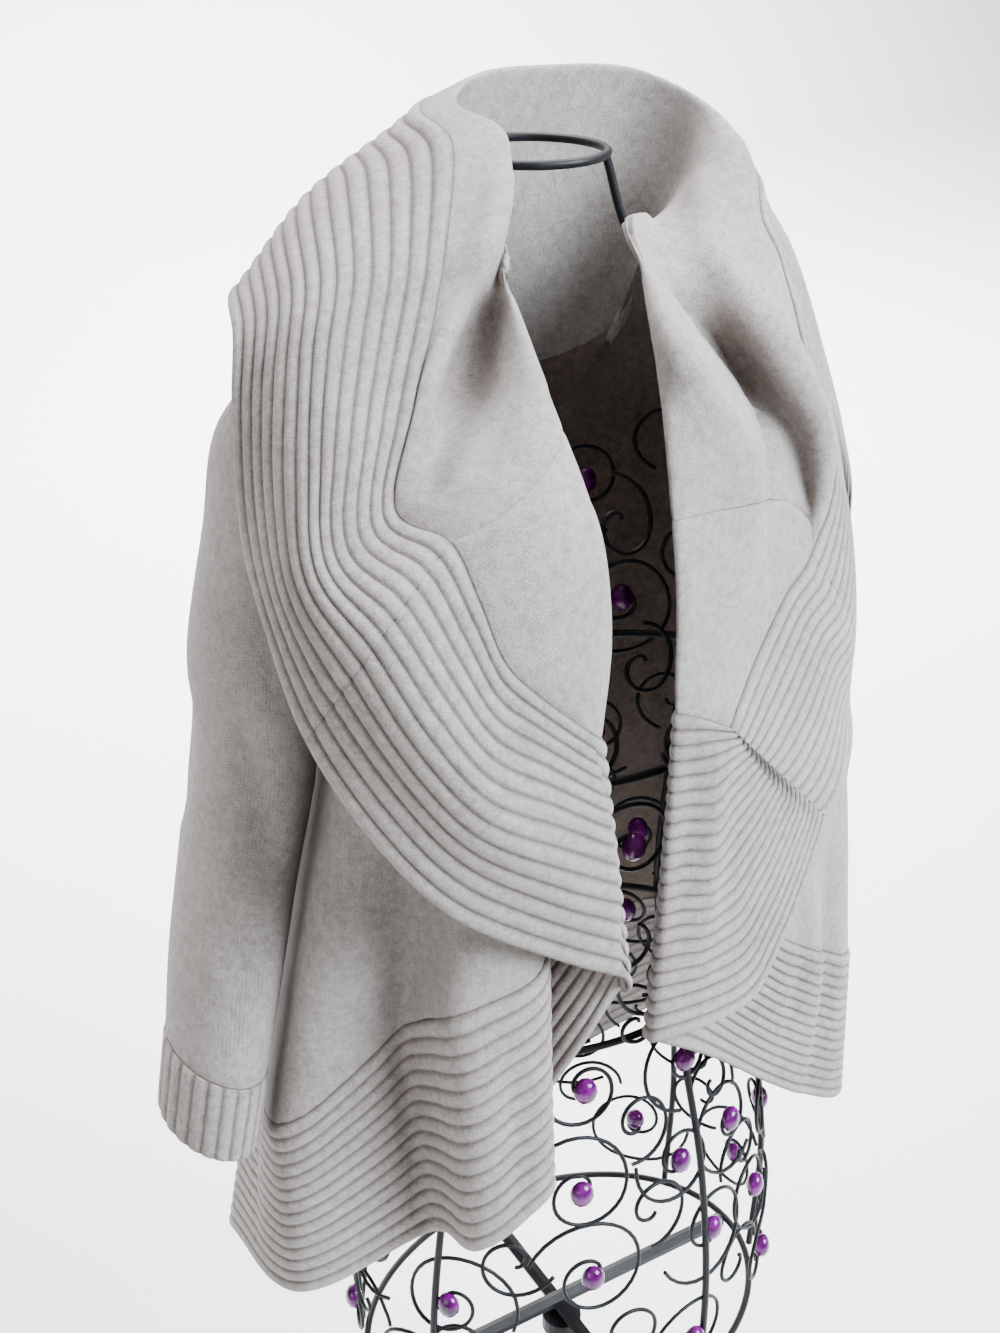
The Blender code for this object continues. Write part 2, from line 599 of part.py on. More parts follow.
def form_point(height, angle, inset=0.0):
    """A point on the form. The angle runs from the front round by the wearer's left."""
    half_width, half_depth, aside, back = form_size(height)
    return np.array([aside + (half_width - inset) * math.sin(angle),
                     back - (half_depth - inset) * math.cos(angle), height]) * MM \
        + [0, 0, HIP_HOOP_HEIGHT]


def wire_tube(name, points, closed, material, radius=WIRE / 2):
    """A round wire along a list of points."""
    points = [np.asarray(point) for point in points]
    count = len(points)
    mesh = bmesh.new()
    rings = []
    aside = np.cross(points[1] - points[0], (0, 0, 1) if closed else WIRE_SIDEWAYS)
    for index, point in enumerate(points):
        before = points[(index - 1) % count] if closed or index else point
        after = points[(index + 1) % count] if closed or index < count - 1 else point
        along = unit(after - before)
        aside = unit(aside - along * np.dot(aside, along))
        over = np.cross(aside, along)
        turns = [math.tau * side / WIRE_SIDES for side in range(WIRE_SIDES)]
        ring = [point + (aside * math.cos(turn) + over * math.sin(turn)) * radius
                for turn in turns]
        rings.append([mesh.verts.new(corner) for corner in ring])
    pairs = list(zip(rings, rings[1:] + rings[:1])) if closed else list(zip(rings, rings[1:]))
    for start, end in pairs:
        for side in range(WIRE_SIDES):
            following = (side + 1) % WIRE_SIDES
            mesh.faces.new([start[side], start[following], end[following], end[side]])
    if not closed:
        mesh.faces.new(rings[0])
        mesh.faces.new(rings[-1])
    bmesh.ops.recalc_face_normals(mesh, faces=mesh.faces)
    bmesh.ops.triangulate(mesh, faces=mesh.faces)
    wire = finish_mesh(name, mesh)
    wire.data.materials.append(material)
    return wire


def turned(name, profile, segments, material):
    """A solid of revolution about the Z axis from (radius, height) pairs, axis to axis."""
    mesh = bmesh.new()
    verts = [mesh.verts.new((radius, 0, height)) for radius, height in profile]
    edges = [mesh.edges.new(pair) for pair in zip(verts, verts[1:])]
    bmesh.ops.spin(mesh, geom=verts + edges, cent=(0, 0, 0), axis=(0, 0, 1),
                   angle=math.tau, steps=segments, use_merge=True)
    bmesh.ops.remove_doubles(mesh, verts=mesh.verts, dist=1e-6)
    bmesh.ops.recalc_face_normals(mesh, faces=mesh.faces)
    bmesh.ops.triangulate(mesh, faces=mesh.faces)
    thing = finish_mesh(name, mesh)
    thing.data.materials.append(material)
    return thing


def make_form(material):
    """The wire form on its pole and base, with nothing touching."""
    inset = (WIRE + CLEARANCE) / MM
    for name, height in HOOPS:
        turns = [math.tau * step / HOOP_SEGMENTS for step in range(HOOP_SEGMENTS)]
        wire_tube(name, [form_point(height, turn, inset) for turn in turns], True, material)
    ring_height = FORM_LEVELS[-1][1]
    turns = [math.tau * step / RING_SEGMENTS for step in range(RING_SEGMENTS)]
    wire_tube("form_neck_ring", [form_point(ring_height, turn) for turn in turns], True, material)
    for number, (degrees, top) in enumerate(UPRIGHTS, 1):
        angle = math.radians(degrees)
        levels = [row[1] for row in FORM_LEVELS if row[1] < top]
        levels.append(top - WIRE / MM if top == ring_height else top)
        wire_tube(f"form_upright_{number}", [form_point(height, angle) for height in levels],
                  False, material)
    half_width, half_depth, _, _ = form_size(0)
    drop = BAR + CLEARANCE
    for name, reach, axis in (("form_cross_bar", half_width, 0),
                              ("form_deep_bar", half_depth, 1)):
        end = (reach - inset) * MM - WIRE / 2 - BAR_END_GAP
        points = np.zeros((2, 3))
        points[:, axis] = (-end, end)
        points[:, 2] = HIP_HOOP_HEIGHT - axis * drop
        wire_tube(name, points, False, material, BAR / 2)
    top = HIP_HOOP_HEIGHT - drop - BAR / 2 - CLEARANCE
    turned("form_pole", [(0, top), (HUB_RADIUS, top), (HUB_RADIUS, top - HUB_THICKNESS),
                         (POLE_RADIUS, top - HUB_THICKNESS),
                         (POLE_RADIUS, BASE_THICKNESS + CLEARANCE),
                         (0, BASE_THICKNESS + CLEARANCE)], POLE_SEGMENTS, material)
    turned("form_base", [(0, BASE_THICKNESS), (BASE_RADIUS - BASE_BEVEL, BASE_THICKNESS),
                         (BASE_RADIUS, BASE_THICKNESS - BASE_BEVEL), (BASE_RADIUS, 0), (0, 0)],
           BASE_SEGMENTS, material)


def main():
    for thing in list(bpy.data.objects):
        bpy.data.objects.remove(thing, do_unlink=True)
    wool = make_material("oatmeal_wool", (0.62, 0.56, 0.52), 0.95)
    painted = make_material("black_painted_wire", (0.012, 0.012, 0.013), 0.38, 0.6)
    sheets, normals = make_cloth(wool)
    # The sleeves start from the armholes, just off the right side of the panels.
    raised = {name: sheets[name] - normals[name] * WALL for name in sheets}
    above = slice(2 * PANEL_STEPS, None)
    for label, table, front, back in (
            ("right", SLEEVE_RIGHT, raised["front_right"][-1], raised["back"][0]),
            ("left", SLEEVE_LEFT, raised["front_left"][0], raised["back"][-1])):
        armhole = np.concatenate([front[above], back[above][::-1][1:-1]])
        make_sleeve(label, table, armhole, wool)
    make_form(painted)


main()
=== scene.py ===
# %% [markdown]
# # A shawl collar cardigan on a wire dress form
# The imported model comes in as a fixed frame: plain walls for the cloth and wires for the form.
# This lesson dresses it. Each piece of cloth becomes a finer sheet of knitting in the same place,
# and the form gets its paint, its scrolls and its glass beads. Nothing in the frame is moved.

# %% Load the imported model
import functools
import math

import bmesh
import bpy
import numpy as np
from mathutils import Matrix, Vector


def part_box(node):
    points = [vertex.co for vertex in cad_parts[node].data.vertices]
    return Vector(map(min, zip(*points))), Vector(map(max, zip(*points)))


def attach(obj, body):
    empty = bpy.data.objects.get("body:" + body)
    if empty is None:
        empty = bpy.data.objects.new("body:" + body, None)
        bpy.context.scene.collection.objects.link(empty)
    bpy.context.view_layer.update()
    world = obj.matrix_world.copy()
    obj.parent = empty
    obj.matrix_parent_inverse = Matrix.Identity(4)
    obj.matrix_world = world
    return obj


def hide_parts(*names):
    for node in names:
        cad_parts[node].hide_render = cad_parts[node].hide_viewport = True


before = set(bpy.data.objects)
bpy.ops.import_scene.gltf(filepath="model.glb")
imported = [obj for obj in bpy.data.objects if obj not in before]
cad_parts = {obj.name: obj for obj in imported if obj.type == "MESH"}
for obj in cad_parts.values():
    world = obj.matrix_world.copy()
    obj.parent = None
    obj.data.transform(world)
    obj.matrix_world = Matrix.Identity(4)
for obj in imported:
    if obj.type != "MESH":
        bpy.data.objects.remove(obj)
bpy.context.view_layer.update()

MM = 0.001
HOOP_HEIGHT = round(sum(corner[2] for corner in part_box("form_hip_hoop")) / 2, 4)


def add_to_scene(name, data):
    """A new object with the given data, in the scene."""
    thing = bpy.data.objects.new(name, data)
    bpy.context.scene.collection.objects.link(thing)
    return thing


print("nodes:", len(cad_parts), "hip hoop at", HOOP_HEIGHT, "m")

# %% [markdown]
# ## The camera
# It stands a little above the collar, to the right of the front, and looks down into the open
# cardigan. Its focal length is given in pixels of the image, so it is scaled to a sensor's size.

# %% Camera
CAMERA_PLACE = (-0.487, -0.727, 0.98 + HOOP_HEIGHT)
HEADING = (0.512, 0.859)
LOOKING_DOWN = 27.4
LONG_SIDE = 1333  # pixels
FOCAL_LENGTH = 1650  # pixels
SENSOR = 36.0  # mm
NEAREST = 0.01  # metres in front of the camera at which things begin to show

camera_data = bpy.data.cameras.new("camera")
camera_data.sensor_width = SENSOR
camera_data.lens = FOCAL_LENGTH * SENSOR / LONG_SIDE
camera_data.clip_start = NEAREST
camera = add_to_scene("camera", camera_data)
camera.location = CAMERA_PLACE
camera.rotation_euler = (math.radians(90 - LOOKING_DOWN), 0, math.atan2(-HEADING[0], HEADING[1]))
bpy.context.scene.camera = camera
print("lens", round(camera_data.lens, 1), "mm")

# %% [markdown]
# ## The light
# Knitwear is shown best by large soft lights: a small hard one would turn every rib into a black
# line. The main lamp is the size of a window. A grid narrows its light to the cloth, and the
# floor has a lamp of its own behind, so that it can be brighter than the wool.

# %% Lights
CHEST = (0, 0, 0.58 + HOOP_HEIGHT)
BACKDROP = (1.7, 2.8, 0)
# Name, place, what it faces, side in metres, watts, colour, spread in degrees.
LAMPS = (
    ("window", (1.05, -1.55, 1.80 + HOOP_HEIGHT), CHEST, 1.6, 39, (0.84, 0.93, 1.0), 70),
    ("fill", (-1.9, -0.7, 1.00 + HOOP_HEIGHT), CHEST, 1.4, 13, (0.97, 0.95, 0.95), 180),
    ("top", (-0.1, 0.3, 2.20 + HOOP_HEIGHT), CHEST, 0.9, 3, (0.94, 0.97, 1.0), 60),
    ("backdrop", (1.3, 2.0, 3.1), BACKDROP, 3.4, 640, (1.0, 1.0, 1.0), 140),
)
ROOM_COLOUR = (0.97, 0.95, 0.92, 1)
ROOM_STRENGTH = 0.17

for name, place, target, size, power, colour, spread in LAMPS:
    lamp = bpy.data.lights.new(name, "AREA")
    lamp.size, lamp.energy, lamp.color = size, power, colour
    lamp.spread = math.radians(spread)
    thing = add_to_scene(name, lamp)
    thing.location = place
    x, y, z = np.array(target) - np.array(place)
    thing.rotation_euler = (math.atan2(math.hypot(x, y), -z), 0, math.atan2(-x, y))
room = bpy.data.worlds.new("studio")
room.use_nodes = True
background = room.node_tree.nodes["Background"]
background.inputs["Color"].default_value = ROOM_COLOUR
background.inputs["Strength"].default_value = ROOM_STRENGTH
bpy.context.scene.world = room
print(len(LAMPS), "lamps")

# %% [markdown]
# ## The floor
# A studio sweep: one wide strip of floor that curves up into a wall far behind, so that no edge
# shows. It grows from its front edge by one extrusion after another.

# %% Floor
FLOOR_REACH = 5.0
SWEEP = ((0, 8.5, 0), (0, 0.6, 0.15), (0, 0.35, 0.6), (0, 0, 5.0))


def new_material(name, settings):
    """A Principled material with some settings, its node tree and its shader."""
    material = bpy.data.materials.new(name)
    material.use_nodes = True
    shader = material.node_tree.nodes["Principled BSDF"]
    for socket, value in settings.items():
        shader.inputs[socket].default_value = value
    return material, material.node_tree, shader


mesh = bmesh.new()
ends = [mesh.verts.new((x, -FLOOR_REACH, 0)) for x in (-FLOOR_REACH, FLOOR_REACH)]
edge = [mesh.edges.new(ends)]
for step in SWEEP:
    grown = bmesh.ops.extrude_edge_only(mesh, edges=edge)["geom"]
    edge = [part for part in grown if isinstance(part, bmesh.types.BMEdge)]
    moved = [part for part in grown if isinstance(part, bmesh.types.BMVert)]
    bmesh.ops.translate(mesh, verts=moved, vec=step)
bmesh.ops.recalc_face_normals(mesh, faces=mesh.faces)
data = bpy.data.meshes.new("floor")
mesh.to_mesh(data)
mesh.free()
data.shade_smooth()
paint, *_ = new_material("floor_paint", {"Base Color": (0.93, 0.93, 0.93, 1), "Roughness": 0.9})
data.materials.append(paint)
floor = add_to_scene("floor", data)
print("floor of", len(data.polygons), "strips")

# %% [markdown]
# ## Node helpers
# Every finish below is built from a few kinds of nodes, so each kind gets a short function. A
# size given in metres becomes a noise scale of one over that size.

# %% Node helpers
def add_node(tree, kind, output, inputs, **settings):
    """A node whose inputs are values or other nodes' outputs; gives back one output."""
    node = tree.nodes.new("ShaderNode" + kind)
    for name, value in settings.items():
        setattr(node, name, value)
    for name, value in inputs.items():
        if isinstance(value, bpy.types.NodeSocket):
            tree.links.new(value, node.inputs[name])
        else:
            node.inputs[name].default_value = value
    return node.outputs[output]


def calc(tree, operation, *values):
    """A Math node with numbers or other nodes' outputs as its values."""
    return add_node(tree, "Math", 0, dict(enumerate(values)), operation=operation)


def noise(tree, vector, size, detail=3.0, roughness=0.5):
    """Noise with lumps of about the given size in metres, from 0 to 1."""
    return add_node(tree, "TexNoise", "Fac", {"Vector": vector, "Scale": 1 / size,
                                              "Detail": detail, "Roughness": roughness})


def tinted(tree, colour, tint, share):
    """A colour multiplied by a tint, as far as the share says."""
    return add_node(tree, "Mix", "Result", {"Factor": share, "A": colour, "B": tint},
                    data_type="RGBA", blend_type="MULTIPLY")


def bump(tree, height, distance, strength, **below):
    """A Bump node, over another one's Normal if that is given."""
    return add_node(tree, "Bump", "Normal", {"Height": height, "Distance": distance,
                                             "Strength": strength, **below})


def ramp(tree, value, *stops):
    """A colour that follows a value smoothly through (place, colour) stops."""
    node = tree.nodes.new("ShaderNodeValToRGB")
    node.color_ramp.interpolation = "B_SPLINE"
    for element, (place, colour) in zip(node.color_ramp.elements, (stops[0], stops[-1])):
        element.position = place
        element.color = (*colour, 1)
    for place, colour in stops[1:-1]:
        node.color_ramp.elements.new(place).color = (*colour, 1)
    tree.links.new(value, node.inputs["Fac"])
    return node.outputs["Color"]


# %% [markdown]
# ## Knitted wool
# The yarn is a melange: pale and darker fibres spun together, so the colour wanders a little at
# every scale. The face of the knitting is rows of small Vs, half hidden by brushed fibre ends.
# All of it can be worked out from a UV map in metres, with u across the columns of stitches and
# v along them, so the pattern follows every fold.

# %% Yarn and stitches
STITCH_WIDTH = 0.0023
STITCH_HEIGHT = 0.0017
STITCH_DEPTH = 0.0006
LEAST_LEG = 0.4  # how much of a V is left where its legs are thinnest
# Size of the patches in metres, detail, roughness, and how much they count.
FIBRE_PATCHES = ((0.0048, 4.0, 0.65, 0.45), (0.0013, 3.0, 0.75, 0.40), (0.060, 2.0, 0.5, 0.15))
FIBRE_STOPS = (0.34, 0.50, 0.66)


def yarn_colour(tree, place, fibres):
    """Clouds of mixed fibre, single fibres and a slow drift, as one colour."""
    mixed = 0.0
    for size, detail, roughness, weight in FIBRE_PATCHES:
        patches = noise(tree, place, size, detail, roughness)
        mixed = calc(tree, "ADD", mixed, calc(tree, "MULTIPLY", patches, weight))
    return ramp(tree, mixed, *zip(FIBRE_STOPS, fibres))


def stitch_normal(tree, place, across, along):
    """Columns of Vs, whose two legs slant up from the middle, worn away in places, under nap."""
    do = functools.partial(calc, tree)
    column = do("FRACT", do("DIVIDE", across, STITCH_WIDTH))
    side = do("MULTIPLY", do("ABSOLUTE", do("SUBTRACT", column, 0.5)), 2.0)
    slant = do("ADD", do("DIVIDE", along, STITCH_HEIGHT), side)
    leg = do("SINE", do("MULTIPLY", do("FRACT", slant), math.pi))
    round_leg = do("SINE", do("MULTIPLY", side, math.pi))
    thick = do("ADD", do("MULTIPLY", round_leg, 1 - LEAST_LEG), LEAST_LEG)
    stitch = do("MULTIPLY", leg, thick)
    worn = do("MULTIPLY", stitch, noise(tree, place, size=0.012))
    stitches = bump(tree, worn, STITCH_DEPTH, strength=0.75)
    nap = noise(tree, place, size=0.0016, detail=5.0, roughness=0.75)
    return bump(tree, nap, distance=0.0013, strength=0.8, Normal=stitches)


# %% [markdown]
# Less light reaches down between two ribs, so a groove gets painted shade: a darker tint, worked
# out from the place across the ribs. Deep folds get a warm, dark painted shade as well, from how
# closely the cloth around them hems a point in.

# %% Grooves and hollows
RIB_PITCH = 0.0093
GROOVE_PAINTED_SHADE = (0.47, 0.42, 0.40, 1)
GROOVE_NARROWING = 1.35  # the higher, the narrower the groove
GROOVE_SOFTNESS = 0.25
HOLLOW_REACH = 0.045
PAINTED_HOLLOW_SHADE_STOPS = ((0.25, (0.42, 0.34, 0.30)), (0.62, (0.90, 0.88, 0.87)), (0.92, (1, 1, 1)))


def painted_groove_shade(tree, across):
    """1 at the bottom of a groove between two ribs, 0 on the ribs: the share of painted shade."""
    do = functools.partial(calc, tree)
    rib = do("FRACT", do("DIVIDE", across, RIB_PITCH))
    top = do("MULTIPLY", do("SINE", do("MULTIPLY", rib, math.pi)), GROOVE_NARROWING)
    return do("MAXIMUM", do("SUBTRACT", 1.0, do("SMOOTH_MIN", top, 1.0, GROOVE_SOFTNESS)), 0.0)


def painted_hollow_shade(tree):
    """Painted shade: white on open cloth, and warm and dark where a fold closes round it."""
    open_share = add_node(tree, "AmbientOcclusion", "AO", {"Distance": HOLLOW_REACH}, samples=6)
    return ramp(tree, open_share, *PAINTED_HOLLOW_SHADE_STOPS)


# %% [markdown]
# Put together, these make three kinds of wool: plain, ribbed, and the wrong side that shows
# inside, painted darker and browner as shade. A little sheen stands for the haze of fibre ends
# that catches the light.

# %% Three kinds of wool
FACE_FIBRES = ((0.27, 0.23, 0.205), (0.455, 0.41, 0.385), (0.62, 0.585, 0.565))
# The wrong side inside has its fibres painted darker and browner, as shade inside the cardigan.
PAINTED_SHADE_INSIDE_FIBRES = ((0.12, 0.085, 0.065), (0.21, 0.155, 0.12), (0.31, 0.24, 0.19))
WOOL_SURFACE = {"Roughness": 0.92, "Specular IOR Level": 0.18, "Sheen Weight": 0.28,
                "Sheen Roughness": 0.55, "Sheen Tint": (0.93, 0.93, 0.98, 1)}


def knitted_wool(name, ribbed, fibres):
    """Brushed melange wool of dark, mixed and pale fibre; painted shade darkens folds and rib
    grooves.
    """
    material, tree, shader = new_material(name, WOOL_SURFACE)
    place = add_node(tree, "TexCoord", "Object", {})
    split = tree.nodes.new("ShaderNodeSeparateXYZ")
    tree.links.new(add_node(tree, "UVMap", "UV", {}, uv_map="knit"), split.inputs[0])
    across, along, _ = split.outputs
    colour = yarn_colour(tree, place, fibres)
    # Painted shade: the grooves between ribs, then the hollows of deep folds, darken the colour.
    if ribbed:
        colour = tinted(tree, colour, GROOVE_PAINTED_SHADE, painted_groove_shade(tree, across))
    colour = tinted(tree, colour, painted_hollow_shade(tree), 1.0)
    tree.links.new(colour, shader.inputs["Base Color"])
    tree.links.new(stitch_normal(tree, place, across, along), shader.inputs["Normal"])
    return material


PLAIN_WOOL = knitted_wool("plain_wool", False, FACE_FIBRES)
RIBBED_WOOL = knitted_wool("ribbed_wool", True, FACE_FIBRES)
PAINTED_SHADE_INSIDE_WOOL = knitted_wool("inside_wool_painted_shade", False, PAINTED_SHADE_INSIDE_FIBRES)
print("wool:", PLAIN_WOOL.name, RIBBED_WOOL.name, PAINTED_SHADE_INSIDE_WOOL.name)

# %% [markdown]
# ## Smooth surfaces through folds
# A hanging cloth is well described by its folds: where each one is at the hem, at the waist, under
# the arm and at the shoulder. A Catmull-Rom curve passes through given points, so a net of such
# curves gives a smooth sheet that passes through all of them, as fine as it is asked for.

# %% Curves and sheets
def curve_at(points, places):
    """The smooth curve through the points, read at places from 0 to the last point's number."""
    points = np.asarray(points, float)
    places = np.asarray(places, float)
    padded = np.concatenate([[2 * points[0] - points[1]], points,
                             [2 * points[-1] - points[-2]]])
    index = np.clip(places.astype(int), 0, len(points) - 2)
    t = (places - index).reshape(-1, *[1] * (points.ndim - 1))
    before, start, end, after = (padded[index + step] for step in range(4))
    return 0.5 * (2 * start + (end - before) * t
                  + (2 * before - 5 * start + 4 * end - after) * t ** 2
                  + (3 * start - before - 3 * end + after) * t ** 3)


def sheet_at(net, rows, columns):
    """The smooth sheet through a net of points, read at rows and columns."""
    return np.swapaxes(curve_at(np.swapaxes(curve_at(net, rows), 0, 1), columns), 0, 1)


def evenly(count, steps):
    """Places along a line of points, with the given steps from each point to the next."""
    return np.linspace(0, count - 1, (count - 1) * steps + 1)


def unit(vectors):
    """The same vectors with length 1."""
    return vectors / np.linalg.norm(vectors, axis=-1, keepdims=True)


def directions(grid, axis):
    """Unit directions along one axis of a grid, halfway between the steps on either side."""
    steps = unit(np.diff(grid, axis=axis))
    before = np.concatenate([np.take(steps, [0], axis), steps], axis)
    after = np.concatenate([steps, np.take(steps, [-1], axis)], axis)
    return unit(before + after)


def lengths(grid, axis):
    """How far each point of a grid is from the grid's start, along the cloth."""
    steps = np.linalg.norm(np.diff(grid, axis=axis), axis=-1)
    run = np.cumsum(steps, axis=axis)
    return np.concatenate([np.zeros_like(np.take(run, [0], axis)), run], axis)


# %% [markdown]
# ## The tables of folds
# Millimetres, with heights above the hip hoop. +X is the wearer's left and -Y the front.
# Fronts and back have one row a fold: where the hem band ends, where it begins, at the low waist,
# under the arm, at the chest and on the shoulder or neck line.

# %% Fronts and back
SIDE_RIGHT = ((-234, 34, 166), (-212, 26, 296), (-181, 18, 440), (-153, 15, 560))
SIDE_LEFT = ((222, 36, 160), (196, 28, 296), (168, 20, 440), (147, 15, 560))
FRONT_RIGHT = (
    ("lapel turn", (-58, -140, 408), (-78, -136, 572), (-76, -128, 660), (-78, -94, 722),
     (-73, -46, 770), (-69, 10, 777)),
    ("inner fold", (-112, -100, 268), (-101, -109, 506), (-92, -112, 606), (-90, -98, 680),
     (-86, -52, 740), (-82, 16, 775)),
    ("pleat edge", (-106, -142, 282), (-112, -139, 443), (-106, -126, 580), (-102, -108, 668),
     (-97, -58, 730), (-95, 18, 771)),
    ("middle fold", (-146, -133, 250), (-157, -131, 425), (-124, -114, 566), (-116, -98, 660),
     (-110, -54, 722), (-109, 20, 767)),
    ("hollow", (-154, -88, 229), (-170, -88, 387), (-146, -88, 540), (-134, -82, 650),
     (-127, -46, 714), (-127, 21, 762)),
    ("side fold", (-232, -70, 206), (-233, -71, 338), (-186, -62, 515), (-153, -55, 640),
     (-149, -34, 704), (-148, 21, 756)),
    ("side seam", *SIDE_RIGHT, (-160, -20, 655), (-168, 20, 749)),
)
BACK = (
    ("side seam right", *SIDE_RIGHT, (-160, 58, 655), (-168, 20, 749)),
    ("blade right", (-186, 112, 128), (-172, 94, 256), (-148, 82, 414), (-128, 84, 552),
     (-124, 88, 668), (-120, 24, 765)),
    ("shoulder right", (-128, 122, 114), (-116, 108, 242), (-106, 98, 406), (-96, 100, 549),
     (-92, 106, 680), (-70, 14, 777)),
    ("hollow right", (-66, 126, 104), (-60, 116, 232), (-54, 110, 400), (-50, 112, 547),
     (-46, 114, 650), (-50, 88, 730)),
    ("centre", (0, 156, 98), (0, 136, 226), (0, 120, 398), (0, 120, 546),
     (2, 118, 622), (12, 112, 690)),
    ("hollow left", (66, 126, 104), (60, 116, 232), (54, 110, 400), (52, 112, 547),
     (66, 114, 640), (84, 79, 717)),
    ("shoulder left", (128, 122, 114), (116, 108, 242), (106, 98, 406), (98, 100, 549),
     (104, 98, 670), (60, 16, 769)),
    ("blade left", (182, 112, 128), (166, 94, 256), (144, 84, 414), (128, 84, 552),
     (130, 82, 668), (108, 24, 758)),
    ("side seam left", *SIDE_LEFT, (149, 58, 655), (146, 20, 743)),
)
FRONT_LEFT = (
    ("side seam", *SIDE_LEFT, (149, -14, 655), (146, 20, 743)),
    ("side fold", (204, -50, 146), (194, -50, 280), (168, -50, 450), (142, -28, 600),
     (136, -16, 700), (130, 21, 750)),
    ("hollow", (158, -62, 172), (152, -72, 306), (140, -70, 465), (128, -36, 615),
     (118, -20, 706), (113, 21, 756)),
    ("middle fold", (128, -86, 205), (116, -98, 338), (104, -86, 485), (98, -54, 625),
     (95, -18, 718), (98, 20, 760)),
    ("pleat edge", (84, -98, 246), (72, -106, 376), (64, -94, 505), (66, -76, 630),
     (72, -22, 730), (86, 19, 763)),
    ("inner fold", (28, -112, 300), (20, -108, 440), (18, -106, 540), (22, -92, 640),
     (46, -26, 742), (74, 18, 766)),
    ("lapel turn", (-34, -128, 352), (-13, -118, 563), (-9, -111, 608), (-2, -98, 662),
     (22, -42, 740), (60, 16, 769)),
)
print(len(FRONT_RIGHT), "folds right,", len(BACK), "at the back,", len(FRONT_LEFT), "left")

# %% [markdown]
# The lapels and the collar are one long strip from corner to corner. Its table has one row a
# section: a point behind the roll edge or at the neck seam, on the roll edge, on the inner slope,
# in the valley, on the crest, where the ribbed band begins, and the band's middle and free edge.

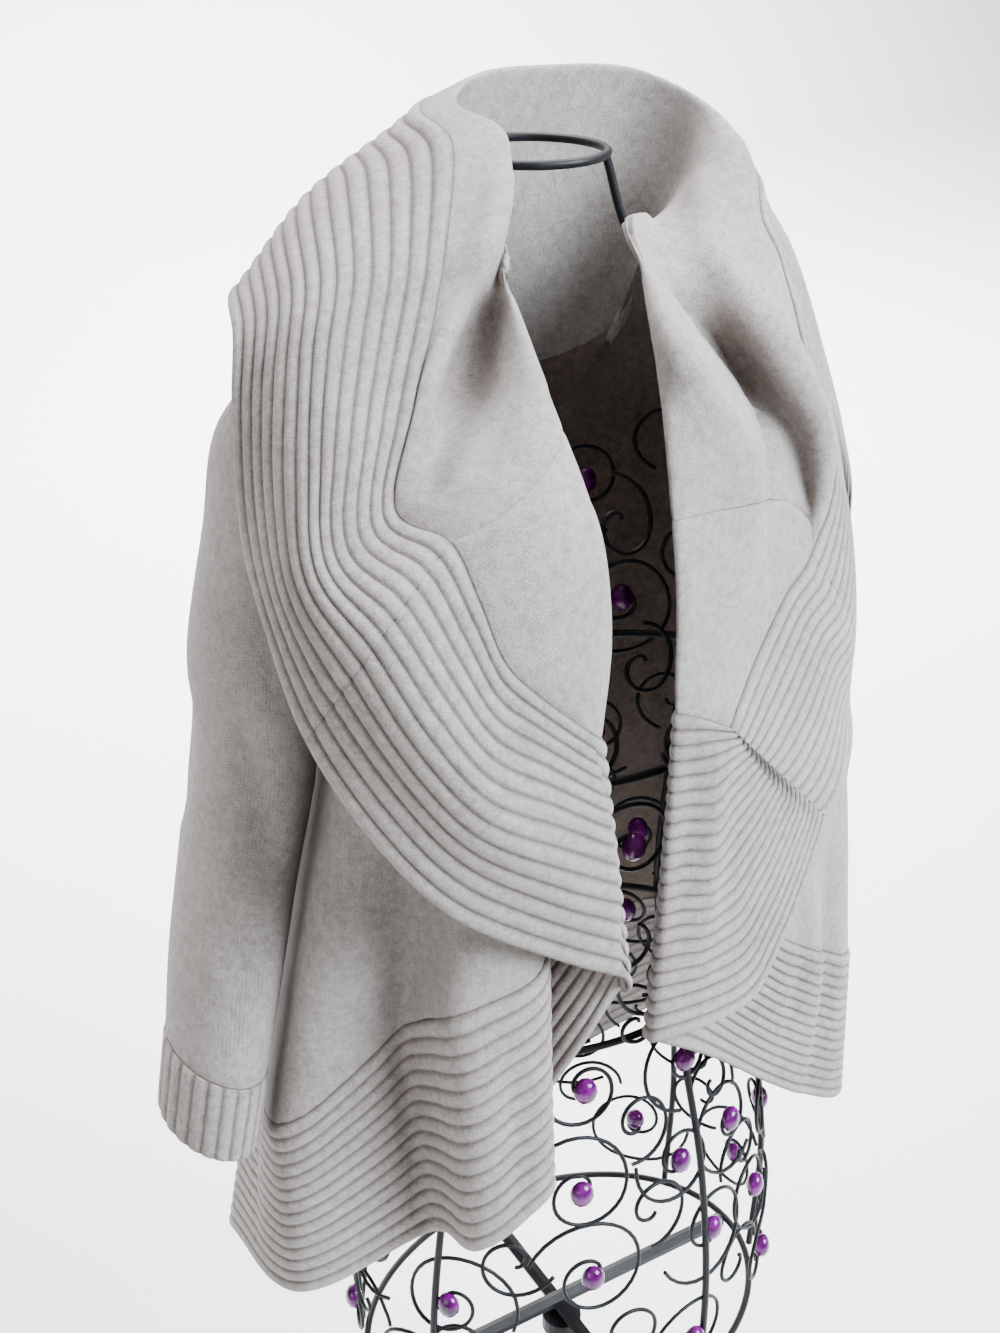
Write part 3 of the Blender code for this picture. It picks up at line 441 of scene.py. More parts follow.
# %% Lapels and collar
COLLAR = (
    ("corner right", (-78, -136, 572), (-83, -147, 575), (-86, -152, 578), (-89, -154, 580),
     (-92, -155, 583), (-96, -156, 586), (-84, -163, 520), (-69, -154, 426)),
    ("lapel right 1", (-76, -132, 616), (-79, -147, 620), (-92, -153, 620), (-104, -155, 620),
     (-117, -156, 620), (-130, -155, 619), (-118, -166, 545), (-108, -152, 451)),
    ("lapel right 2", (-76, -128, 660), (-79, -141, 662), (-96, -148, 656), (-112, -150, 650),
     (-127, -151, 643), (-142, -150, 636), (-160, -166, 575), (-167, -150, 497)),
    ("lapel right 3", (-77, -113, 694), (-82, -130, 693), (-99, -138, 686), (-116, -141, 678),
     (-132, -142, 670), (-148, -140, 662), (-184, -158, 610), (-202, -136, 543)),
    ("seam right", (-78, -94, 722), (-84, -110, 720), (-100, -122, 712), (-118, -128, 702),
     (-136, -128, 693), (-153, -122, 686), (-202, -138, 650), (-224, -108, 594)),
    ("neck right 1", (-76, -72, 746), (-84, -88, 745), (-98, -96, 736), (-118, -98, 722),
     (-142, -99, 709), (-165, -92, 694), (-212, -104, 676), (-226, -72, 640)),
    ("neck right 2", (-73, -46, 770), (-83, -64, 768), (-92, -66, 752), (-106, -64, 738),
     (-128, -66, 744), (-143, -70, 734), (-202, -78, 716), (-220, -36, 670)),
    ("neck right 3", (-70, -16, 777), (-78, -44, 782), (-82, -46, 772), (-88, -44, 768),
     (-101, -43, 774), (-117, -46, 770), (-184, -50, 757), (-214, -20, 722)),
    ("neck right 4", (-69, 10, 777), (-70, -30, 790), (-72, -33, 790), (-75, -35, 792),
     (-81, -35, 797), (-103, -32, 794), (-164, -20, 783), (-204, -4, 759)),
    ("shoulder right", (-67, 46, 768), (-61, 14, 790), (-56, 6, 808), (-50, 3, 824),
     (-48, 4, 836), (-73, 14, 833), (-135, 50, 804), (-180, 57, 761)),
    ("shoulder right 2", (-58, 76, 745), (-60, 58, 780), (-62, 52, 812), (-57, 50, 836),
     (-49, 52, 846), (-63, 66, 842), (-108, 98, 800), (-140, 108, 738)),
    ("back right", (-34, 103, 702), (-38, 98, 750), (-34, 94, 795), (-24, 92, 834),
     (-10, 94, 853), (-22, 114, 842), (-52, 140, 784), (-68, 144, 714)),
    ("back", (16, 112, 680), (20, 107, 740), (26, 104, 790), (32, 103, 834),
     (38, 105, 853), (37, 128, 840), (30, 152, 776), (24, 156, 702)),
    ("back left", (62, 106, 684), (70, 102, 745), (78, 98, 796), (86, 96, 832),
     (92, 97, 849), (100, 116, 836), (112, 138, 774), (118, 142, 704)),
    ("shoulder left 2", (85, 82, 711), (93, 74, 752), (101, 68, 790), (111, 64, 820),
     (120, 60, 832), (132, 76, 818), (156, 94, 770), (172, 94, 712)),
    ("shoulder left", (68, 44, 762), (58, 29, 778), (66, 24, 788), (84, 22, 800),
     (115, 22, 812), (129, 31, 803), (162, 46, 757), (180, 56, 702)),
    ("neck left 4", (60, 16, 769), (17, -10, 791), (19, -19, 784), (44, -12, 776),
     (88, -16, 777), (106, -12, 777), (147, 8, 754), (177, 12, 694)),
    ("neck left 3", (44, -14, 757), (8, -40, 770), (8, -54, 766), (48, -32, 752),
     (84, -40, 754), (113, -34, 743), (148, -28, 690), (168, -37, 626)),
    ("neck left 2", (22, -42, 740), (-7, -74, 743), (-2, -92, 744), (58, -46, 723),
     (83, -62, 723), (115, -52, 703), (152, -42, 643), (172, -38, 574)),
    ("neck left 1", (6, -78, 702), (-20, -104, 709), (26, -102, 704), (93, -60, 673),
     (111, -70, 673), (130, -64, 648), (157, -56, 590), (177, -42, 524)),
    ("seam left", (-2, -98, 662), (-22, -118, 667), (48, -104, 659), (98, -72, 634),
     (106, -77, 620), (102, -82, 607), (147, -72, 550), (171, -52, 480)),
    ("lapel left 3", (-6, -106, 635), (-23, -124, 636), (24, -117, 626), (50, -108, 613),
     (62, -103, 605), (70, -100, 597), (114, -92, 543), (156, -70, 470)),
    ("lapel left 2", (-9, -111, 608), (-25, -128, 610), (1, -126, 601), (21, -120, 588),
     (33, -116, 580), (42, -113, 573), (87, -108, 523), (143, -86, 456)),
    ("lapel left 1", (-11, -115, 585), (-27, -131, 587), (-11, -131, 580), (4, -129, 571),
     (14, -127, 563), (23, -124, 556), (65, -120, 512), (129, -97, 446)),
    ("corner left", (-13, -118, 563), (-27, -132, 566), (-20, -135, 564), (-11, -136, 560),
     (-1, -135, 554), (11, -132, 546), (48, -128, 507), (112, -106, 442)),
)
# The free edge of the band round the left corner, from the lapel's free edge to the hem: the band
# fans out there from the corner of the plain cloth, and its ribs swing round.
CORNER_EDGE_LEFT = (
    ("below the crest", (82, -124, 411)),
    ("below the valley", (59, -134, 384)),
    ("below the slope", (31, -140, 356)),
    ("roll edge", (-33, -144, 360)),
)
SEAM_RIGHT, SEAM_LEFT = 4, 20  # rows of COLLAR at the seams between lapel and collar
TOP_RIGHT, TOP_LEFT = 8, 16  # rows of COLLAR where the fronts reach the neck
print(len(COLLAR), "sections from corner to corner")

# %% [markdown]
# ## Sheets that share their seams
# Two pieces that are sewn together have to end on the same line. So all sheets are worked out
# together, with steps that fit each other: three steps of the back go to one of a front along the
# shoulder, for instance, and what one piece says of a seam the other one takes over.

# %% Plain sheets
WALL = 0.0028
# How many steps a sheet takes from one row, or one level, of its table to the next.
FOLD_STEPS = 4
COLLAR_STEPS = 6
BACK_STEPS = 12
LEVEL_STEPS = 12
ACROSS_STEPS = 4
BAND_STEPS = 4
BLEND_STEPS = 12  # steps over which the top of the back moves onto its seam


def points_of(table):
    """The points of a table in metres, indexed by row and column."""
    points = np.array([row[1:] for row in table], float) * MM
    points[..., 2] += HOOP_HEIGHT
    return points


def smooth(net, row_steps, column_steps):
    """The smooth sheet through a net, with some steps from each row and column to the next."""
    return sheet_at(net, evenly(len(net), row_steps), evenly(net.shape[1], column_steps))


def between(start, end, turn):
    """Points strictly between two others, which bulge from the chord as the given turn does."""
    fractions = np.linspace(0.0, 1.0, len(turn))[:, None]
    bulge = turn - (turn[0] + (turn[-1] - turn[0]) * fractions)
    return (start + (end - start) * fractions + bulge)[1:-1]


def plain_sheets():
    """Fronts and back by fold and level, and the collar, as grids on the wrong side."""
    sheets = {"front_right": smooth(points_of(FRONT_RIGHT)[:, 1:], FOLD_STEPS, LEVEL_STEPS),
              "back": smooth(points_of(BACK)[:, 1:], BACK_STEPS, LEVEL_STEPS),
              "front_left": smooth(points_of(FRONT_LEFT)[:, 1:], FOLD_STEPS, LEVEL_STEPS),
              "collar": smooth(points_of(COLLAR)[:, :6], COLLAR_STEPS, ACROSS_STEPS)}
    turn = sheets["collar"][:, 0]
    sheets["front_right"][0] = turn[:TOP_RIGHT * COLLAR_STEPS + 1]
    sheets["front_left"][-1] = turn[TOP_LEFT * COLLAR_STEPS:][::-1]
    right, left = sheets["front_right"][::-1, -1], sheets["front_left"][::-1, -1]
    neck = turn[TOP_RIGHT * COLLAR_STEPS:TOP_LEFT * COLLAR_STEPS + 1]
    top = np.concatenate([right, neck[1:-1], left])
    moved = top - sheets["back"][:, -1]
    share = np.linspace(0.0, 1.0, BLEND_STEPS + 1)
    sheets["back"][:, -BLEND_STEPS - 1:] += moved[:, None] * share[:, None]
    below = 2 * LEVEL_STEPS + 1
    for front, back in ((sheets["front_right"][-1], sheets["back"][0]),
                        (sheets["front_left"][0], sheets["back"][-1])):
        front[:below] = back[:below] = (front[:below] + back[:below]) / 2
    return sheets


SHEETS = plain_sheets()
print({name: grid.shape[:2] for name, grid in SHEETS.items()})

# %% [markdown]
# The band is one strip that starts at the right side seam and runs up the right edge, round the
# neck, down the left edge and along the back hem. Its inner line is the edge of the plain pieces.

# %% The band's sheet
def band_net(sheets):
    """The band's inner line, middle and free edge, from the right side seam all the way round."""
    def hem(table, steps):
        """A panel's lowest two levels, from its last fold to its first."""
        points = points_of(table)[::-1, :2]
        return curve_at(points, evenly(len(points), steps))

    right, back = hem(FRONT_RIGHT, FOLD_STEPS), hem(BACK, BACK_STEPS)
    left = hem(FRONT_LEFT, FOLD_STEPS)
    strip = points_of(COLLAR)[:, 6:]
    lapel = curve_at(strip, evenly(len(strip), COLLAR_STEPS))
    turn_right, turn_left = sheets["collar"][0], sheets["collar"][-1][::-1]
    inner = np.concatenate([right[:, 1], turn_right[1:-1], sheets["collar"][:, -1],
                            turn_left[1:-1], left[:, 1], back[1:, 1]])
    corner = np.concatenate([lapel[-1:, 1], points_of(CORNER_EDGE_LEFT)[:, 0], left[:1, 0]])
    corner = curve_at(corner, evenly(len(corner), ACROSS_STEPS))
    edge = np.concatenate([right[:, 0], between(right[-1, 0], lapel[0, 1], turn_right),
                           lapel[:, 1], corner[1:-1], left[:, 0], back[1:, 0]])
    middle = (inner + edge) / 2
    start = len(right) + len(turn_right) - 2
    middle[start:start + len(lapel)] = lapel[:, 0]
    return smooth(np.stack([inner, middle, edge], axis=1), 1, BAND_STEPS)


SHEETS["band"] = band_net(SHEETS)
print("band:", SHEETS["band"].shape[:2])

# %% [markdown]
# The walls of two pieces have to lean the same way at their seam, or a gap opens on one face. So
# a normal on a seam is the mean of the normals on both sides.

# %% Shared normals
DECIMALS = 6  # two points that are the same to a micrometre are one point of a seam


def share_normals(sheets):
    """Unit normals of all grids, the same wherever two of them end on the same point."""
    normals = {name: np.cross(directions(grid, 0), directions(grid, 1))
               for name, grid in sheets.items()}
    edges = (np.s_[0, :], np.s_[-1, :], np.s_[:, 0], np.s_[:, -1])
    sums = {}
    for name, grid in sheets.items():
        for edge in edges:
            for point, normal in zip(grid[edge], normals[name][edge]):
                key = tuple(np.round(point, DECIMALS))
                sums[key] = sums.get(key, 0) + normal
    for name, grid in sheets.items():
        for edge in edges:
            for index, point in enumerate(grid[edge]):
                normals[name][edge][index] = sums[tuple(np.round(point, DECIMALS))]
        normals[name] = unit(normals[name])
    return normals


NORMALS = share_normals(SHEETS)
print("normals of", ", ".join(NORMALS))

# %% [markdown]
# ## From a sheet to a knitted wall
# Each piece starts as bmesh's own grid. Its points are moved onto the right side of the cloth,
# and one extrusion of all its faces, moved onto the wrong side, closes the wall. A whole number on
# every point says where in the grid it belongs, and the extrusion copies that number too.

# %% Walls
SAME_PLACE = 1e-6
HALF_SIDE = 0.5


def knit_wall(name, right_side, wrong_side, knit, material, inside, closed=False):
    """A closed wall between two grids, with the map of its stitches in metres.

    The edges have the same wool as the wrong side. With closed, the grid's first and last column
    are one, as in a tube.
    """
    rows, columns = right_side.shape[:2]
    mesh = bmesh.new()
    bmesh.ops.create_grid(mesh, x_segments=columns - 1, y_segments=rows - 1,
                          size=HALF_SIDE)
    number = mesh.verts.layers.int.new("number")
    order = [(round((vert.co.y + HALF_SIDE) * (rows - 1)),
              round((vert.co.x + HALF_SIDE) * (columns - 1))) for vert in mesh.verts]
    for vert, (row, column) in zip(mesh.verts, order):
        vert[number] = row * columns + column
        vert.co = right_side[row, column]
    layer = mesh.loops.layers.uv.new("knit")
    flat_knit = knit.reshape(-1, 2)
    for face in mesh.faces:
        for loop in face.loops:
            loop[layer].uv = flat_knit[loop.vert[number]]
    if closed:
        bmesh.ops.remove_doubles(mesh, verts=mesh.verts, dist=SAME_PLACE)
    right_faces = mesh.faces[:]
    grown = bmesh.ops.extrude_face_region(mesh, geom=right_faces)["geom"]
    flat_wrong = wrong_side.reshape(-1, 3)
    for part in grown:
        if isinstance(part, bmesh.types.BMVert):
            part.co = flat_wrong[part[number]]
    for face in set(mesh.faces) - set(right_faces):
        face.material_index = 1
    bmesh.ops.recalc_face_normals(mesh, faces=mesh.faces)
    return finish(name, mesh, [material, inside])


def finish(name, mesh, materials):
    """Turns a bmesh into a smooth object that rides on the root."""
    data = bpy.data.meshes.new(name)
    mesh.to_mesh(data)
    mesh.free()
    data.shade_smooth()
    for material in materials:
        data.materials.append(material)
    thing = add_to_scene(name, data)
    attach(thing, "root")
    return thing


# %% [markdown]
# A seam pulls the cloth thin for a few millimetres on either side, and a free edge rounds off.
# For that the grid needs extra lines close to its edges, so the places where a sheet is read
# are spread evenly except for three more at each end.

# %% Places near edges
EDGE_LINES = (0.0011, 0.0024, 0.0042)
EDGE_DIP = 0.00065
EDGE_WIDTH = 0.0022
EDGE_MARGIN = 1.3  # how far the even lines keep off, as a share of the last edge line
FEWEST_STEPS = 3


def places_for(grid, axis, step):
    """Places along an axis of a grid: about a step apart, and closer near both ends."""
    length = float(np.mean(np.take(lengths(grid, axis), [-1], axis)))
    count = grid.shape[axis]
    near = np.array(EDGE_LINES) / length
    inner = np.linspace(0, 1, max(FEWEST_STEPS, round(length / step)) + 1)[1:-1]
    inner = inner[(inner > near[-1] * EDGE_MARGIN) & (inner < 1 - near[-1] * EDGE_MARGIN)]
    shares = np.concatenate([[0], near, inner, 1 - near[::-1], [1]])
    return shares * (count - 1)


def edge_dip(grid, across=True):
    """How far both faces sink near the edges; a tube has none across."""
    down, over = lengths(grid, 0), lengths(grid, 1)
    nearest = np.minimum(down, down[-1:] - down)
    if across:
        nearest = np.minimum.reduce([nearest, over, over[:, -1:] - over])
    return EDGE_DIP * np.exp(-(nearest / EDGE_WIDTH) ** 2)


# %% [markdown]
# ## Creases
# Between its main folds the cloth has softer troughs and ridges. Each one is a line of points on
# the cloth, with a width and a depth that fade to nothing at both ends. The distance to the line
# is measured in space, so a crease runs on over a seam from one piece to the next. A positive
# depth is a ridge on the side that shows.

# %% Creases
TURNED_BACK = ("lapel_right", "collar", "lapel_left", "lapel_band_right", "collar_band",
               "lapel_band_left", "corner_left")
RIGHT_FRONT = ("front_right", "hem_band_right")
LEFT_FRONT = ("front_left", "hem_band_left")
WHOLE_BACK = ("back", "hem_band_back")
# Pieces, and their creases: width mm, depth mm, points in mm as in the tables.
CREASES = (
    (TURNED_BACK, (
        # Left collar: a sharp valley below the crest, and the ridge in front of it.
        (8, -8.0, (19, -24, 778), (26, -34, 767), (42, -38, 748), (60, -43, 728), (73, -50, 710),
         (76, -58, 691), (70, -77, 680), (61, -95, 662), (58, -101, 640), (58, -104, 600)),
        (7, -6.0, (22, -28, 773), (34, -37, 757), (52, -41, 737), (68, -47, 717), (78, -57, 695)),
        (12, 6.0, (4, -40, 776), (-2, -75, 755), (0, -98, 732), (12, -106, 712), (24, -108, 690),
         (30, -110, 660), (26, -114, 635), (8, -124, 610)),
        (20, -9.0, (80, 98, 812), (90, 60, 806), (70, 20, 800), (46, -8, 786), (34, -22, 770)),
        (11, 10.0, (88, 60, 812), (80, 6, 797), (66, -24, 768), (76, -40, 742), (86, -58, 722),
         (98, -65, 704), (110, -68, 686), (116, -73, 655), (112, -82, 620)),
        (10, 4.0, (118, 36, 821), (122, 18, 797), (106, -21, 766), (95, -50, 735),
         (112, -58, 700)),
        # Right collar: the crest stands up and the plain slope sinks in behind it.
        (8, 8.5, (-54, -9, 826), (-68, -23, 812), (-84, -37, 794), (-101, -44, 772),
         (-121, -57, 755), (-141, -74, 731), (-160, -88, 702)),
        (9, -11.0, (-86, -44, 772), (-94, -49, 758), (-112, -64, 739), (-130, -82, 727),
         (-144, -91, 713), (-156, -98, 700)),
        (14, -3.0, (-88, -84, 742), (-108, -98, 726), (-130, -108, 706)),
        (24, 3.5, (-94, -132, 700), (-112, -144, 664), (-110, -153, 615)),
        # Ribbed band.
        (13, -3.0, (-182, -35, 768), (-195, -66, 735), (-200, -94, 696), (-198, -122, 660),
         (-188, -148, 622)),
        (15, 3.5, (-200, -141, 646), (-184, -158, 610), (-153, -166, 560), (-118, -164, 520),
         (-92, -158, 480)),
        (12, -2.5, (-216, -122, 628), (-202, -142, 585), (-175, -156, 542), (-128, -156, 488)),
        (10, 5.0, (0, -136, 540), (-2, -136, 500), (-4, -138, 465), (-6, -140, 426),
         (-8, -141, 385)),
        (7, -2.5, (-17, -135, 545), (-18, -137, 500), (-20, -139, 454), (-24, -141, 410)),
    )),
    (RIGHT_FRONT, (
        # Right front: two soft pillars with a deep hollow between them.
        (10, -5.0, (-156, -88, 236), (-161, -88, 295), (-167, -88, 390), (-169, -85, 450),
         (-160, -88, 520)),
        (14, 3.5, (-234, -70, 215), (-233, -71, 300), (-218, -63, 395), (-202, -54, 451),
         (-188, -46, 500)),
        (13, 4.5, (-146, -133, 252), (-147, -135, 320), (-150, -134, 380), (-154, -126, 440),
         (-140, -118, 510)),
        (8, -2.5, (-122, -141, 262), (-128, -140, 330), (-132, -138, 400)),
        (9, -2.5, (-232, -20, 200), (-226, -16, 280), (-212, -14, 360)),
    )),
    (LEFT_FRONT, (
        # Left front: short folds above the hem, and one under the lapel.
        (10, 4.4, (133, -84, 206), (130, -88, 274), (119, -96, 343), (108, -98, 400)),
        (8, -3.8, (104, -95, 238), (107, -100, 335), (96, -98, 390)),
        (8, -3.8, (156, -72, 180), (154, -75, 250), (150, -76, 330), (142, -72, 400)),
        (10, 3.8, (182, -61, 168), (172, -65, 270), (158, -68, 350)),
        (12, -3.1, (196, -22, 170), (186, -18, 260), (172, -16, 360)),
    )),
    (WHOLE_BACK, (
        # Back: long folds that open towards the hem, and pulls below the neck.
        (14, 6.8, (-156, 119, 135), (-134, 102, 284), (-114, 95, 445), (-104, 103, 601)),
        (11, -6.8, (-95, 120, 140), (-80, 111, 254), (-74, 106, 402), (-63, 109, 531)),
        (9, 4.4, (-39, 127, 194), (-34, 115, 378), (-32, 116, 531), (-29, 116, 637)),
        (13, -6.8, (41, 136, 117), (30, 126, 247), (27, 116, 419), (20, 119, 571)),
        (10, 5.8, (100, 117, 171), (84, 106, 340), (76, 106, 515), (80, 113, 628)),
        (12, -6.5, (168, 117, 139), (149, 103, 249), (129, 95, 389), (113, 96, 516)),
        (11, -4.2, (-50, 113, 646), (-9, 118, 622), (46, 113, 642), (84, 100, 676)),
        (9, -3.4, (-84, 113, 631), (-65, 114, 650), (-40, 113, 657), (-16, 115, 656)),
    )),
    (("sleeve_right",), (
        # Sleeves: wrinkles at the elbow and a long fold down to the cuff.
        (9, -4.5, (-222, -22, 583), (-224, -30, 540), (-222, -42, 500), (-221, -48, 474)),
        (10, 3.2, (-238, -34, 492), (-250, -40, 450), (-261, -50, 420)),
        (7, -3.2, (-243, -28, 462), (-248, -48, 444), (-238, -62, 426)),
        (9, -3.9, (-241, 34, 480), (-240, 32, 520), (-228, 42, 560)),
        (11, -3.2, (-205, -30, 640), (-210, -36, 600), (-206, -42, 560)),
    )),
    (("sleeve_left",), (
        (8, -3.9, (205, -4, 530), (214, -6, 490), (219, -3, 454)),
        (9, 3.2, (219, -3, 440), (226, 0, 410), (230, 4, 380)),
        (9, -3.9, (219, 63, 454), (212, 62, 490), (203, 60, 526)),
    )),
)
LINE_STEPS = 12
FADE = 0.6  # the power that makes a crease fade late, near its ends
print(sum(len(group) for _, group in CREASES), "creases")


def crease_relief(piece, grid):
    """How far each point of a piece is raised by creases, on the side that shows."""
    relief = np.zeros(grid.shape[:2])
    crossing = [crease for pieces, group in CREASES if piece in pieces for crease in group]
    for width, depth, *points in crossing:
        points = np.array(points) * MM + [0, 0, HOOP_HEIGHT]
        line = curve_at(points, evenly(len(points), LINE_STEPS))
        away = np.linalg.norm(grid[:, :, None] - line, axis=-1)
        share = away.argmin(axis=-1) / (len(line) - 1)
        fade = np.maximum(np.sin(math.pi * share), 0) ** FADE
        relief += depth * MM * np.exp(-(away.min(axis=-1) / (width * MM)) ** 2) * fade
    return relief


# %% [markdown]
# ## The plain pieces
# Back, fronts, lapels and collar are plain knitting with the stitches running up and down. The
# UV map holds true lengths along the cloth, so stitches keep their size where a fold fans out.

# %% Plain pieces
PLAIN_STEP = 0.0050


def stitch_map(grid, row_axis=0):
    """Metres across the columns of stitches, from the middle of the piece, and along them."""
    across, along = lengths(grid, row_axis), lengths(grid, 1 - row_axis)
    middle = np.take(across, [across.shape[row_axis] // 2], row_axis)
    return np.stack([across - middle, along], axis=-1)


def declare_cloth(grid, node):
    """Hides the node of a piece of cloth; its lengths down and across, laid flat, are worked out
    but not used.
    """
    down, over = lengths(grid, 0)[-1], lengths(grid, 1)[:, -1]
    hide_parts(node)


def plain_piece(name, sheet, rows):
    """One plain piece: a slice of rows of a sheet."""
    grid, normal = SHEETS[sheet][rows], NORMALS[sheet][rows]
    down, over = places_for(grid, 0, PLAIN_STEP), places_for(grid, 1, PLAIN_STEP)
    fine, lean = sheet_at(grid, down, over), unit(sheet_at(normal, down, over))
    turned = name in TURNED_BACK
    relief = crease_relief(name, fine) * (-1 if turned else 1)
    dip = edge_dip(fine)
    right_side = fine - lean * (WALL + relief - dip)[..., None]
    wrong_side = fine - lean * (relief + dip)[..., None]
    piece = knit_wall("knit_" + name, right_side, wrong_side, stitch_map(fine), PLAIN_WOOL,
                      PLAIN_WOOL if turned else PAINTED_SHADE_INSIDE_WOOL)
    declare_cloth(fine, name)


plain_piece("front_right", "front_right", np.s_[:])
plain_piece("front_left", "front_left", np.s_[:])
plain_piece("back", "back", np.s_[:])
FIRST_SEAM, LAST_SEAM = SEAM_RIGHT * COLLAR_STEPS, SEAM_LEFT * COLLAR_STEPS
plain_piece("lapel_right", "collar", np.s_[:FIRST_SEAM + 1])
plain_piece("collar", "collar", np.s_[FIRST_SEAM:LAST_SEAM + 1])
plain_piece("lapel_left", "collar", np.s_[LAST_SEAM:])

# %% [markdown]
# ## The ribbed band
# The band is rib knitting: fourteen welts along it, 9 mm apart. A welt is round with a narrow
# groove beside it, so its section is read at six places, close together near the groove. On the
# other side of the cloth welts and grooves change places. Where the band fans out below the left
# lapel it has 22 welts, so that stretch is a piece of its own.

# %% Band
BAND_RIBS = 14
CORNER_RIBS = 22
RIB_HEIGHT = 0.0017
BACK_RIB_HEIGHT = 0.0006
RIB_PLACES = (0.0, 0.09, 0.24, 0.5, 0.76, 0.91)
ROUNDNESS = 0.7  # the power that makes a rib fuller than a sine
BAND_STEP = 0.0045
SHARED_NODES = {"corner_left": "lapel_band_left"}  # two pieces stand for this node


def rib_section(count, parts):
    """Places across, counted in ribs, and how high the cloth stands there, from 0 to 1."""
    places = [rib + part for rib in range(count) for part in parts] + [count]
    heights = [math.sin(math.pi * part) ** ROUNDNESS for part in parts] * count + [0.0]
    return np.array(places), np.array(heights)


def band_piece(name, first, last, count, ribs_inside):
    """A stretch of the band between two of its rows, with a number of ribs across it."""
    grid, normal = SHEETS["band"][first:last + 1], NORMALS["band"][first:last + 1]
    ribs, raised = rib_section(count, RIB_PLACES)
    down = places_for(grid, 0, BAND_STEP)
    over = ribs / count * (grid.shape[1] - 1)
    fine, lean = sheet_at(grid, down, over), unit(sheet_at(normal, down, over))
    relief = crease_relief(name, fine) * (1 if ribs_inside else -1)
    dip = edge_dip(fine)
    welts, hollows = raised * RIB_HEIGHT, (1 - raised) * BACK_RIB_HEIGHT
    outer, inner = (hollows, welts) if ribs_inside else (welts, hollows)
    moved = lean * relief[..., None]
    right_side = fine - lean * (WALL + outer - dip)[..., None] + moved
    wrong_side = fine + lean * (inner - dip)[..., None] + moved
    across = np.broadcast_to(ribs * RIB_PITCH, fine.shape[:2])
    along = np.broadcast_to(lengths(fine, 0)[:, fine.shape[1] // 2, None], fine.shape[:2])
    piece = knit_wall("knit_" + name, right_side, wrong_side, np.stack([across, along], -1),
                      RIBBED_WOOL, RIBBED_WOOL)
    declare_cloth(fine, SHARED_NODES.get(name, name))


def band_rows():
    """The rows of the band sheet at which its seven stretches begin, and its last row."""
    front = (len(FRONT_RIGHT) - 1) * FOLD_STEPS
    turn = SHEETS["collar"].shape[1] - 2
    start = front + turn + 1
    corner = start + len(SHEETS["collar"]) - 1
    end = corner + turn + 1
    return (0, front, start + FIRST_SEAM, start + LAST_SEAM, corner, end, end + front,
            len(SHEETS["band"]) - 1)


MARKS = band_rows()
STRETCHES = (
    ("hem_band_right", BAND_RIBS, False, "hung", "knit_front_right"),
    ("lapel_band_right", BAND_RIBS, True, "folded", "knit_lapel_right"),
    ("collar_band", BAND_RIBS, True, "folded", "knit_collar"),
    ("lapel_band_left", BAND_RIBS, True, "folded", "knit_lapel_left"),
    ("corner_left", CORNER_RIBS, True, "folded", "knit_hem_band_left"),
    ("hem_band_left", BAND_RIBS, False, "hung", "knit_front_left"),
    ("hem_band_back", BAND_RIBS, False, "hung", "knit_back"),
)
for (label, count, ribs_inside, held, carrier), first, last in zip(STRETCHES, MARKS, MARKS[1:]):
    band_piece(label, first, last, count, ribs_inside)


# %% [markdown]
# ## Sleeves and cuffs
# An empty sleeve is a flattened tube. Its table has one row a ring, from the armhole down: centre,
# tilt (90 stands upright in the armhole, 0 lies level), half its height across the tilt and half
# its depth. The cuff continues the last two rings with narrow ribs.

# %% Sleeve tables
SLEEVE_RIGHT = (
    ("armhole", -169, 19, 654, 90, 91, 37),
    ("cap", -187, 18, 635, 79, 77, 41),
    ("head", -191, 16, 606, 64, 54, 47),
    ("arm top", -201, 13, 568, 36, 36, 50),
    ("upper arm", -204, 11, 528, 18, 31, 50),
    ("elbow", -221, 0, 474, 17, 29, 48),
    ("forearm", -242, -18, 414, 17, 28, 45),
    ("cuff seam", -256, -32, 372, 17, 26, 41),
    ("cuff end", -268, -41, 333, 17, 25, 39),
)
SLEEVE_LEFT = (
    ("armhole", 146, 19, 654, 90, 91, 37),
    ("cap", 158, 21, 630, 87, 72, 36),
    ("head", 170, 24, 600, 74, 54, 41),
    ("arm top", 180, 26, 565, 54, 32, 45),
    ("upper arm", 186, 27, 522, 14, 24, 46),
    ("elbow", 202, 30, 452, 8, 25, 46),
    ("forearm", 214, 34, 386, 6, 23, 43),
    ("cuff seam", 221, 36, 334, 6, 21, 40),
    ("cuff end", 226, 38, 292, 6, 20, 38),
)
SLEEVE_SIDES = 4 * LEVEL_STEPS
SLEEVE_GAP = 0.0009
SLEEVE_STEP = 0.0055
CUFF_RIBS = 22
CUFF_RIB_HEIGHT = 0.0011
CUFF_PLACES = (0.0, 0.12, 0.3, 0.5, 0.7, 0.88)

# %% [markdown]
# The mesh of a sleeve is one grid that closes on itself. Its first ring isn't an ellipse but the
# armhole itself: the line round the top of front and back, just off their right side. A cuff is
# read from the last rings only, with points where its ribs rise and fall.

# %% Sleeves
def tube_rings(table, side, turns):
    """Rings of points for the rows of a sleeve's table, starting under the arm, going forward."""
    rings = []
    for x, y, z, tilt, half_height, half_depth in (row[1:] for row in table):
        centre = np.array([x, y, z]) * MM + [0, 0, HOOP_HEIGHT]
        tilt = math.radians(tilt)
        down = np.array([-side * math.cos(tilt), 0, -math.sin(tilt)]) * half_height * MM
        forward = np.array([0, -half_depth * MM, 0])
        rings.append([centre + down * math.cos(turn) + forward * math.sin(turn)
                      for turn in turns])
    return np.array(rings)


